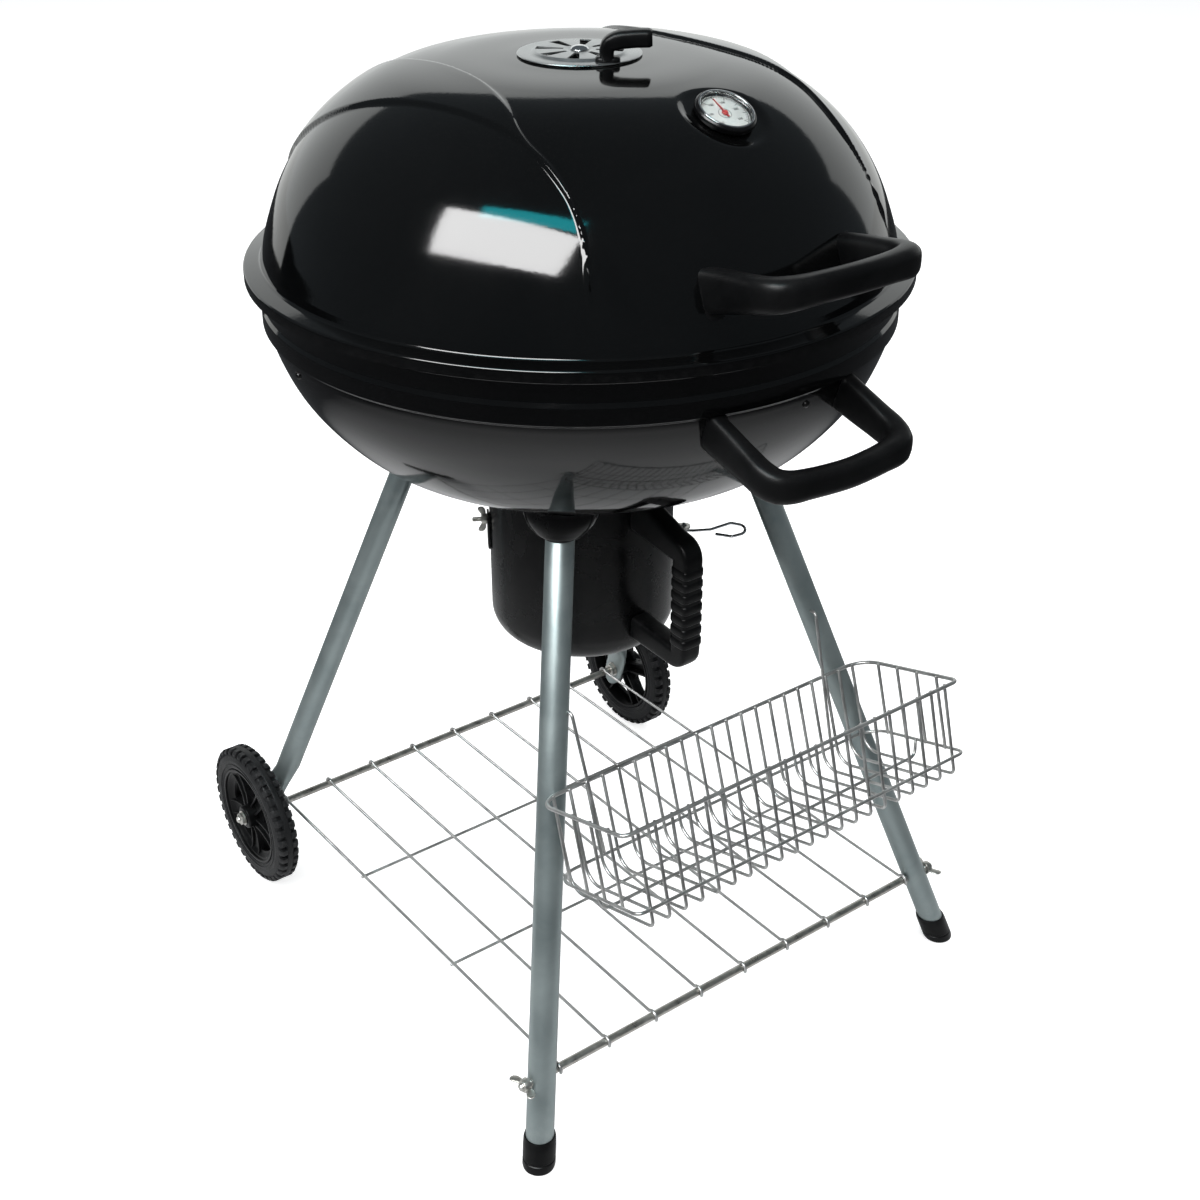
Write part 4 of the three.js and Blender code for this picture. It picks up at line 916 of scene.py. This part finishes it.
def threadedRod(end):
    look = rodLook
    r = look["radius"]
    half = [(0, -end), (r - 0.9, -end)]
    for i in range(int(look["thread"] / look["pitch"]) - 1):
        start = -end + 0.7 + i * look["pitch"]
        half += [(r - 0.55, start), (r, start + look["pitch"] * 0.4), (r, start + look["pitch"] * 0.6)]
    half.append((r, look["thread"] - end))
    return half + [(radius, -z) for radius, z in reversed(half)]


def alongX(shape, y):
    return placed(shape, turned(90, "Y"), (0, y, legLook["axleZ"]))


def wingNut():
    parts = [spun(bent([(4.3, 0), (7, 0), (6.2, 6.6), (4.3, 6.8)], [0, 0.8, 0.8, 0], 3), 32)]
    for side in (-1, 1):
        rings = []
        for reach, wide, deep, height in ((5.4, 3.0, 1.3, 3.6), (8, 3.4, 1.2, 4.4), (11.5, 4.4, 1.1, 5.6),
                                          (14.5, 4.3, 1.1, 6.6), (16.6, 2.4, 0.8, 7.0)):
            centre = np.array([0, side * reach, height])
            rings.append(softRing(centre, flatX, plumb, deep, wide, 2.4, 20))
        parts.append(skin(rings))
    return joined(parts)


def hexNut(radius, low, high):
    turns = np.radians(np.arange(6) * 60 + 12)
    corner = np.column_stack([np.cos(turns), np.sin(turns)])
    rings = []
    for r, z in ((radius * 0.9, low), (radius, low + 0.7), (radius, high - 0.7), (radius * 0.9, high)):
        rings.append(np.column_stack([corner * r, np.full(6, z)]))
    washer = spun([(4.3, low - 0.1), (radius + 1, low - 0.1), (radius + 1, low + 0.5), (4.3, low + 0.5)], 40)
    return joined([skin(rings), washer])


for name, end, y, old in (("front_rod", rodLook["barEnd"], -axleY, "front_cross_bar"),
                          ("rear_rod", rodLook["axleEnd"], axleY, "axle")):
    shape = alongX(spun(threadedRod(end), 32, closed=False), y)
    makePiece(name, shape, "bowl", finish["zincPlate"], [old], crease=60)

for sx, side in ((-1, "left"), (1, "right")):
    wing = placed(wingNut(), turned(90 * sx, "Y"), (sx * 258.6, -axleY, legLook["axleZ"]))
    makePiece("wing_nut_" + side, wing, "bowl", finish["zincPlate"],
              ["cross_bar_wing_nut_" + side], crease=45)
    inner = placed(hexNut(8, 0.2, 6.2), turned(-90 * sx, "Y"), (sx * 240.4, axleY, legLook["axleZ"]))
    makePiece("lock_nut_" + side, inner, "bowl", finish["zincPlate"],
              ["axle_inner_nut_" + side], crease=30)
    cap = joined([hexNut(7.4, 0.2, 4.4),
                  spun([(0, 7.0), (2.6, 6.6), (4.6, 5.2), (5.6, 4.3), (0, 4.3)], 32, False)])
    outer = placed(cap, turned(90 * sx, "Y"), (sx * 278.8, axleY, legLook["axleZ"]))
    makePiece("hub_nut_" + side, outer, "bowl", finish["zincPlate"],
              ["axle_end_nut_" + side], crease=30)
print("rods and nuts made")


# wheels, drawn flat round Z and then stood up on the axle
wheelLook = dict(radius=79.0, inner=250.0, outer=275.0, tyreBore=56.0, lugs=40, windows=5)


def tyreShape():
    look = wheelLook
    r, wide = look["radius"], look["outer"] - look["inner"]
    bore = look["tyreBore"]
    core = bent([(bore, 2.2), (58.4, 0.9), (66, 0.4), (71.5, 1.4), (75.2, 4.2), (75.4, wide - 4.2),
                 (71.5, wide - 1.4), (66, wide - 0.4), (58.4, wide - 0.9), (bore, wide - 2.2)],
                [0.5, 1, 3, 3, 2, 2, 3, 3, 1, 0.5], 4)
    parts = [spun(core, 160)]
    middle = bent([(75, 8.6), (78.6, 9.2), (78.6, wide - 9.2), (75, wide - 8.6)], [0, 0.8, 0.8, 0], 3)
    parts.append(spun(middle, 160))
    for i in range(look["lugs"]):
        for row, (low, high, shift) in enumerate(((0.6, 9.4, 0.0), (wide - 9.4, wide - 0.6, 0.5))):
            azimuth = 360 * (i + shift) / look["lugs"]
            shoulder = low if row == 0 else high
            inward = 1 if row == 0 else -1
            profile = [(73.0, shoulder + inward * 0.5), (76.0, shoulder + inward * 0.9),
                       (r - 0.2, shoulder + inward * 3.4), (r - 0.2, shoulder + inward * 8.4),
                       (74.4, shoulder + inward * 8.8), (72.6, shoulder + inward * 3.0)]
            rings = []
            for share, shrink in ((-0.29, 0.5), (-0.24, 0), (0.24, 0), (0.29, 0.5)):
                angle = azimuth + share * 360 / look["lugs"]
                rings.append([polar(pr - shrink * (pr > 74.5), angle, pz) for pr, pz in profile])
            parts.append(skin(rings))
    for low in (0.1, wide - 1.3):  # raised bead round each side wall
        parts.append(spun(bent([(60, low), (62.2, low), (62.2, low + 1.2), (60, low + 1.2)],
                               [0.4, 0.4, 0.4, 0.4], 3), 160))
    return joined(parts)


def hubShape():
    look = wheelLook
    wide = look["outer"] - look["inner"]
    pitch = 360 / look["windows"]
    line = np.array([(12.5, 15.2), (18, 15.0), (20, 14.8), (22, 14.8), (30, 15.2), (40, 15.8), (44.6, 16.2),
                     (47.5, 17.2), (50.5, 20.8), (53.0, wide - 3.4), (55.5, wide - 2.2)])
    azimuths = np.unique(np.round(np.mod(np.concatenate([np.concatenate([
        i * pitch + np.linspace(-23, 23, 18), i * pitch + np.linspace(23, pitch - 23, 12)[1:-1]])
        for i in range(look["windows"])]), 360), 4))

    def window(radius, z, azimuth):
        away = np.abs((azimuth + pitch / 2) % pitch - pitch / 2)
        return (radius > 22) & (radius < 44.6) & (away < 23 - np.maximum(30 - radius, 0) * 0.5)
    parts = [pressedSheet(line, 3.0, azimuths, window)]
    parts.append(spun(bent([(52.6, 1.2), (55.6, 1.2), (55.6, wide - 1.2), (52.6, wide - 1.2)],
                           [0.8, 0.4, 0.4, 0.8], 3), 120))
    parts.append(spun(bent([(4.4, -3.0), (12.6, -3.0), (13, 8), (13, wide + 1.6), (11.4, wide + 3),
                            (4.4, wide + 3)], [0, 1.4, 0, 1, 1.4, 0], 4), 64))
    for i in range(look["windows"]):
        azimuth = (i + 0.5) * pitch
        for side in (-1, 1):  # stiffening ribs along both edges of each spoke
            rings = []
            for radius, reach in ((12.6, 20.5), (24, 18.6), (36, 18.2), (46, 19.0), (52, 21.5)):
                spread = side * (4.4 + radius * 0.07)
                at = polar(radius, azimuth) + polar(spread, azimuth + 90)
                section = ((-1, 4), (1, 4), (1, reach - 0.6), (0.5, reach), (-0.5, reach), (-1, reach - 0.6))
                rings.append([at + polar(1.1 * s, azimuth + 90, z) for s, z in section])
            parts.append(skin(rings))
    return joined(parts)


tyre, hub = tyreShape(), hubShape()
for sx, side in ((-1, "left"), (1, "right")):
    stand = turned(90 * sx, "Y")
    at = (sx * wheelLook["inner"], axleY, legLook["axleZ"])
    makePiece("tread_" + side, placed(tyre, stand, at), "wheel_" + side, finish["wheelTread"],
              ["tyre_" + side], crease=35)
    makePiece("hub_" + side, placed(hub, stand, at), "wheel_" + side, finish["blackPlastic"],
              ["wheel_hub_" + side], crease=32)
print("wheels made")


# wire shelf
shelfLook = dict(pitch=56.4, wires=4, wire=1.6, crossY=(90.0, -83.0))


def shelfShape():
    look = shelfLook
    reach = rodLook["radius"] + look["wire"] + 0.2
    parts = []
    for k in range(-look["wires"], look["wires"] + 1):
        hook = [(axleY + reach * cos(radians(a)), legLook["axleZ"] + reach * sin(radians(a)))
                for a in (150, 125, 100, 75, 50, 25, 0, -28)]
        path = [(k * look["pitch"], -y, z) for y, z in reversed(hook)]
        path += [(k * look["pitch"], y, z) for y, z in hook]
        parts.append(rod(path, look["wire"], 12))
    z = legLook["axleZ"] + reach * 0.5 - look["wire"] * 1.8
    end = look["wires"] * look["pitch"] + 2
    for y in look["crossY"]:
        parts.append(rod([(-end, y, z), (0, y, z), (end, y, z)], look["wire"], 12))
    return joined(parts)


makePiece("shelf", shelfShape(), "bowl", finish["platedWire"], ["wire_shelf"], crease=50)

# wire basket, in its own leaning frame on the front legs
basketLook = dict(
    half=200.0, width=130.0, depth=91.0, loop=73.0, wire=1.55, rimWire=1.9, rimY=-199.6, rimZ=332.7,
    hangerX=148.0, hangerRise=66.0, pitch=18.4, wires=10, endWires=(26.0, 52.0, 78.0, 104.0))
basketLean = atan(legLook["slopeY"])


def basketPoint(x, out, up):
    look = basketLook
    return np.array([x, look["rimY"] - out * cos(basketLean) + up * sin(basketLean),
                     look["rimZ"] + out * sin(basketLean) + up * cos(basketLean)])


def basketShape():
    look = basketLook
    half, width, depth, low = look["half"], look["width"], look["depth"], look["loop"]
    parts = []
    for drop, inset, radius in ((0, 0, look["rimWire"]), (-low, 2.4, look["wire"])):
        loop = [basketPoint(-half + inset / 2, inset, drop), basketPoint(half - inset / 2, inset, drop),
                basketPoint(half - inset / 2, width - inset, drop),
                basketPoint(-half + inset / 2, width - inset, drop)]
        parts.append(rod(bent(loop, [24, 24, 8, 8], 8), radius, 12, loop=True))
    for i in range(-look["wires"], look["wires"] + 1):
        x = i * look["pitch"]
        path = bent([basketPoint(x, 2.6, 1.4), basketPoint(x, 5, -depth), basketPoint(x, width - 5, -depth),
                     basketPoint(x, width - 2.6, 1.4)], [0, 17, 6, 0], 6)
        parts.append(rod(path, look["wire"], 10))
    for out in look["endWires"]:
        for sx in (-1, 1):
            x = sx * (half - 2.6)
            path = [basketPoint(x, out, up) for up in (1.2, -30, -low - 1.2)]
            parts.append(rod(path, look["wire"], 10))
    middle, drop = width / 2, -depth + 2.6
    floorWire = bent([basketPoint(-half + 3, middle, -low + 1), basketPoint(-half + 7, middle, drop),
                      basketPoint(half - 7, middle, drop), basketPoint(half - 3, middle, -low + 1)],
                     [0, 9, 9, 0], 5)
    parts.append(rod(floorWire, look["wire"], 10))
    for sx in (-1, 1):
        top = basketPoint(sx * look["hangerX"], 1.6, look["hangerRise"])
        foot = basketPoint(sx * (look["hangerX"] - 6), 2.0, -low)
        path = bent([foot, top, top + (0, 13.5, 0)], [0, 5, 0], 6)
        parts.append(rod(path, look["wire"], 12))
    return joined(parts)


makePiece("basket", basketShape(), "basket", finish["platedWire"], ["wire_basket"], crease=50)
print("shelf and basket made")


# ash pot, its collar and handle
potLook = dict(radius=91.0, sheet=1.4, bottom=356.0, top=545.0, corner=28.0, notch=(-65.0, -15.0),
               notchZ=461.0, collarFoot=452.0, clipZ=478.0, clips=(("left", 150), ("right", 30)))


def potShape():
    look = potLook
    r, base, top = look["radius"], look["bottom"], look["top"]
    line = bent([(0, base), (r, base), (r, top)], [0, look["corner"], 0], 14)
    wall = [z for z in np.arange(base + look["corner"] + 8, top - 3, 9) if abs(z - look["notchZ"]) > 4]
    wall = sorted(wall + [look["notchZ"]])
    line = np.vstack([[(share * (r - look["corner"]), base) for share in (0, 0.25, 0.5, 0.75)], line[1:-1],
                      [(r, z) for z in wall], [(r, top)]])
    first, last = look["notch"]
    azimuths = np.unique(np.round(np.mod(np.concatenate([
        np.arange(last, first + 360, 2.5), np.arange(first, last, 2.5)]), 360), 4))

    def notch(radius, z, azimuth):
        turn = (azimuth - first) % 360
        slot = (turn < last - first) & (z > look["notchZ"])
        for _, clip in look["clips"]:
            away = np.abs((azimuth - clip + 180) % 360 - 180)
            slot = slot | ((away < 2.6) & (z > look["clipZ"] - 5))
        return slot & (radius > r - 1)
    return pressedSheet(line, -look["sheet"], azimuths, notch)


makePiece("pot", potShape(), "ash_pot_body", finish["blackSteel"], ["ash_pot"], crease=45)


def collarShape():
    look = potLook
    r = look["radius"] - look["sheet"] - 0.3
    wall = [(r, z) for z in np.linspace(look["collarFoot"], 546, 14)]
    line = np.array(wall + [(r + 2, 547.6), (r + 5, 548.8), (r + 9, 549.4)])
    azimuths = np.arange(0, 360, 2.5)

    def slot(radius, z, azimuth):
        turn = (azimuth + 40 + 180) % 360 - 180
        return (np.abs(turn) < 25) & (z > 461) & (z < 471)
    return pressedSheet(line, -look["sheet"], azimuths, slot)


makePiece("collar", collarShape(), "bowl", finish["blackSteel"],
          ["ash_pot_collar"], crease=45)

potGripLook = dict(reach=70.0, topZ=504.0, bottomZ=390.0, ribs=7, ribPitch=12.2)


def potGripShape():
    look = potGripLook
    wall, out = -(potLook["radius"] + 0.35), -(potLook["radius"] + look["reach"])
    stops = bent([(wall, look["topZ"] + 13, 19), (out + 16, look["topZ"] + 1, 12),
                  (out, look["topZ"] - 1, 11), (out, look["bottomZ"], 10.5),
                  (wall - 1, look["bottomZ"] + 4, 12.5)], [0, 0, 9, 9, 0], 7)
    rings = []
    for i, (y, z, deep) in enumerate(stops):
        y0, z0, _ = stops[max(i - 1, 0)]
        y1, z1, _ = stops[min(i + 1, len(stops) - 1)]
        ahead = unit(np.array([0, y1 - y0, z1 - z0]))
        rings.append(softRing(np.array([0, y, z]), flatX, np.cross(flatX, ahead), 11.2, deep, 5.0, 44))
    parts = [skin(rings)]
    middle = (look["topZ"] + look["bottomZ"]) / 2
    for i in range(look["ribs"]):
        z = middle + (i - (look["ribs"] - 1) / 2) * look["ribPitch"]
        bead = ((-4.6, 0.98), (-4.0, 1.05), (-2.8, 1.09), (2.8, 1.09), (4.0, 1.05), (4.6, 0.98))
        parts.append(skin([
            softRing(np.array([0, out, z + lift]), flatX, flatY, 11.2 * share, 10.6 * share, 5.0, 44)
            for lift, share in bead]))
    return joined(parts)


makePiece("pot_grip", potGripShape(), "ash_pot_body", finish["blackPlastic"],
          ["ash_pot_handle"], crease=50)


# strap clips that hold the pot, each with a stud and a wing nut
for side, azimuth in potLook["clips"]:
    near = potLook["radius"] + 0.3
    turn = turned(azimuth, "Z")
    z = potLook["clipZ"]
    strap = bent([(-8, -32), (8, -32), (8, 8), (-8, 8)], [6, 6, 3, 3], 5)
    strap = placed(prism(strap, 0, 2), turn @ turned(90, "Y") @ turned(90, "Z"), polar(near, azimuth, z))
    makePiece("strap_" + side, strap, "bowl", finish["blackSteel"], ["pot_clip_" + side],
              crease=35, bevel=0.4)
    threads = [(0, -14), (2.0, -13.6)]
    for i in range(18):
        threads += [(2.1, -13 + i * 1.6), (2.5, -12.4 + i * 1.6)]
    threads += [(2.0, 16.4), (0, 16.8)]
    stud = joined([spun(threads, 20, False),
                   spun([(0, -20), (4.2, -19.6), (5, -18.4), (5, -16), (0, -16)], 24, False)])
    stud = placed(stud, turn @ turned(90, "Y"), polar(near, azimuth, z))
    makePiece("stud_" + side, stud, "bowl", finish["zincPlate"],
              ["pot_clip_stud_" + side], crease=50)
    points, faces = wingNut()
    small = placed((points * np.array([0.62, 0.8, 0.8]), faces), turn @ turned(90, "Y") @ turned(90, "Z"),
                   polar(near + 2.4, azimuth, z))
    makePiece("strap_nut_" + side, small, "bowl", finish["zincPlate"],
              ["pot_clip_wing_nut_" + side], crease=45)


# wire lever that works the vent under the bowl
leverLook = dict(z=466.0, azimuth=-40.0, eye=100.0, wire=1.5)


def leverShape():
    look = leverLook

    def at(radius, across, z):
        return polar(radius, look["azimuth"], look["z"] + z) + polar(across, look["azimuth"] + 90)

    path = bent([at(look["eye"], 0, 4), at(look["eye"], 0, -4.6), at(110, 0, -4.6), at(126, 0, -3),
                 at(146, 7, 1.2), at(160, 5, -0.4), at(160, -5, -3.6), at(147, -7, -6.6),
                 at(131, -2.6, -6.4)],
                [0, 3, 4, 8, 7, 6, 6, 8, 0], 7)
    eye = rod([at(look["eye"] + 3.6 * cos(t), 3.6 * sin(t), -1.6) for t in np.arange(24) * pi / 12],
              1.4, 10, loop=True)
    return joined([rod(path, look["wire"], 12), eye])


makePiece("vent_pull", leverShape(), "bottom_vent", finish["chrome"], ["vent_lever"], crease=50)
print("ash pot made")


# grates inside the bowl
def grateShape(radius, z, pitch, wire):
    parts = [rod([polar(radius - 2.6, a, z) for a in np.arange(0, 360, 3)], 2.5, 12, loop=True)]
    count = int((radius - 10) // pitch)
    for i in range(-count, count + 1):
        y = i * pitch
        half = (radius - 3.2) ** 2 - y * y
        parts.append(rod([(-half**0.5, y, z + 0.6), (0, y, z + 0.6), (half**0.5, y, z + 0.6)], wire, 10))
    for share in (-0.45, 0.45):
        x = share * radius
        half = ((radius - 3.2) ** 2 - x * x) ** 0.5
        parts.append(rod([(x, -half, z - 1.4), (x, 0, z - 1.4), (x, half, z - 1.4)], min(wire, 2.2), 10))
    return joined(parts)


grates = (("cooking_grate", 264.0, 724.0, 16.0, 1.9), ("charcoal_grate", 203.0, 587.0, 20.0, 2.2))
for name, radius, z, pitch, wire in grates:
    makePiece(name + "_wires", grateShape(radius, z, pitch, wire), name + "_body",
              finish["platedWire"], [name], crease=50)

# fasteners and vent parts that keep their CAD shape take a detailed finish
kept = {"lid_handle_bolt": "zincPlate", "bowl_handle_bolt": "zincPlate", "grate_ledge": "blackSteel",
        "vent_blades": "blackSteel", "vent_arm": "zincPlate", "thermometer_nut": "zincPlate"}
for name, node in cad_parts.items():
    for start, look in kept.items():
        if name.startswith(start):
            for place in node.material_slots:
                place.material = finish[look]
print("inside made")


# floor, light and camera
stageLook = dict(floorSize=60.0, sky=1.0, skyDim=0.14, nearFloor=0.5, farFloor=1.0, glow=0.65)


def makeFloor():
    mesh = bpy.data.meshes.new("floor")
    half = stageLook["floorSize"] / 2
    corners = [(-half, -half, 0), (half, -half, 0), (half, half, 0), (-half, half, 0)]
    mesh.from_pydata(corners, [], [(0, 1, 2, 3)])
    material = bpy.data.materials.new("paleFloor")
    material.use_nodes = True
    tree = material.node_tree
    shader = tree.nodes["Principled BSDF"]
    shader.inputs["Roughness"].default_value = 0.9
    shader.inputs["Specular IOR Level"].default_value = 0.1
    shader.inputs["Emission Strength"].default_value = stageLook["glow"]
    place = addNode(tree, "ShaderNodeTexCoord")
    mottle = addNode(tree, "ShaderNodeTexNoise", {"Scale": 3.0, "Detail": 3.0})
    tone = addNode(tree, "ShaderNodeMix", data_type="RGBA")
    tone.inputs["A"].default_value = (0.86, 0.86, 0.86, 1)
    tone.inputs["B"].default_value = (0.88, 0.88, 0.88, 1)
    link(tree, place.outputs["Object"], mottle.inputs["Vector"])
    link(tree, mottle.outputs["Fac"], tone.inputs["Factor"])
    link(tree, tone.outputs["Result"], shader.inputs["Base Color"])
    # away from the grill the floor stays dark in reflections, as the floor of a studio outside the lights
    far = addNode(tree, "ShaderNodeBsdfDiffuse", {"Color": (0.05, 0.052, 0.055, 1)})
    path = addNode(tree, "ShaderNodeLightPath")
    link(tree, path.outputs["Is Camera Ray"], shader.inputs["Emission Color"])
    distance = addNode(tree, "ShaderNodeVectorMath", operation="LENGTH")
    ring = addNode(tree, "ShaderNodeMapRange",
                   {"From Min": stageLook["nearFloor"], "From Max": stageLook["farFloor"]})
    both = addNode(tree, "ShaderNodeMath", operation="MULTIPLY")
    mix = addNode(tree, "ShaderNodeMixShader")
    link(tree, place.outputs["Object"], distance.inputs[0])
    link(tree, distance.outputs["Value"], ring.inputs["Value"])
    link(tree, ring.outputs["Result"], both.inputs[0])
    link(tree, path.outputs["Is Glossy Ray"], both.inputs[1])
    link(tree, both.outputs["Value"], mix.inputs["Fac"])
    link(tree, shader.outputs["BSDF"], mix.inputs[1])
    link(tree, far.outputs["BSDF"], mix.inputs[2])
    link(tree, mix.outputs["Shader"], tree.nodes["Material Output"].inputs["Surface"])
    mesh.materials.append(material)
    floor = bpy.data.objects.new("floor", mesh)
    bpy.context.collection.objects.link(floor)


def makeSky():
    world = bpy.data.worlds.new("studio")
    bpy.context.scene.world = world
    world.use_nodes = True
    tree = world.node_tree
    pale = tree.nodes["Background"]
    pale.inputs["Color"].default_value = (1, 1, 1, 1)
    pale.inputs["Strength"].default_value = stageLook["sky"]
    dim = addNode(tree, "ShaderNodeBackground", {"Color": (0.8, 0.92, 1, 1), "Strength": stageLook["skyDim"]})
    path = addNode(tree, "ShaderNodeLightPath")
    mix = addNode(tree, "ShaderNodeMixShader")
    link(tree, path.outputs["Is Camera Ray"], mix.inputs["Fac"])
    link(tree, dim.outputs["Background"], mix.inputs[1])
    link(tree, pale.outputs["Background"], mix.inputs[2])
    link(tree, mix.outputs["Shader"], tree.nodes["World Output"].inputs["Surface"])


# name: place, point it looks at, size, watts, colour, shows in reflections, lights matt surfaces
lights = {
    "overheadSoftbox": ((-0.6, -0.6, 4.2), (0, 0, 0.0), (7, 7), 330, (1, 1, 1), False, True),
    "leftSoftbox": ((-3.2, 0.4, 1.7), (0, 0, 0.5), (1.2, 2.4), 40, (1, 1, 1), False, True),
    "rearWall": ((2.4, 3.1, 1.5), (0, 0, 0.95), (11.5, 3.5), 120, (0.98, 1, 0.98), True, False),
    "windowCard": ((-2.3, -0.85, 3.0), (-0.19, -0.16, 0.83), (2.7, 1.25), 230, (1, 1, 1), True, False),
    "skyCard": ((-1.69, -0.92, 3.57), (-0.19, -0.16, 0.83), (1.9, 0.36), 22, (0.02, 0.62, 0.7), True, False),
    "rightCard": ((3.4, -0.6, 1.4), (0, 0, 0.8), (1.4, 2.6), 24, (1, 1, 1), False, True),
}


def makeLight(name, place, target, size, watts, tint, glossy, matt):
    data = bpy.data.lights.new(name, "AREA")
    data.shape, data.size, data.size_y = "RECTANGLE", *size
    data.energy, data.color = watts, tint
    light = bpy.data.objects.new(name, data)
    bpy.context.collection.objects.link(light)
    light.location = place
    light.rotation_euler = (Vector(place) - Vector(target)).to_track_quat("Z", "Y").to_euler()
    light.visible_camera = False
    light.visible_glossy, light.visible_diffuse = glossy, matt


def makeCamera():
    data = bpy.data.cameras.new("camera")
    data.lens, data.sensor_width = 52.16, 36.0
    camera = bpy.data.objects.new("camera", data)
    camera.location = (-0.9101, -1.2248, 1.2460)
    camera.rotation_euler = (radians(90 - 29.58), 0, radians(-37.27))
    bpy.context.collection.objects.link(camera)
    bpy.context.scene.camera = camera


makeFloor()
makeSky()
for name, settings in lights.items():
    makeLight(name, *settings)
makeCamera()
bpy.context.scene.view_settings.view_transform = "Standard"
print("stage set")
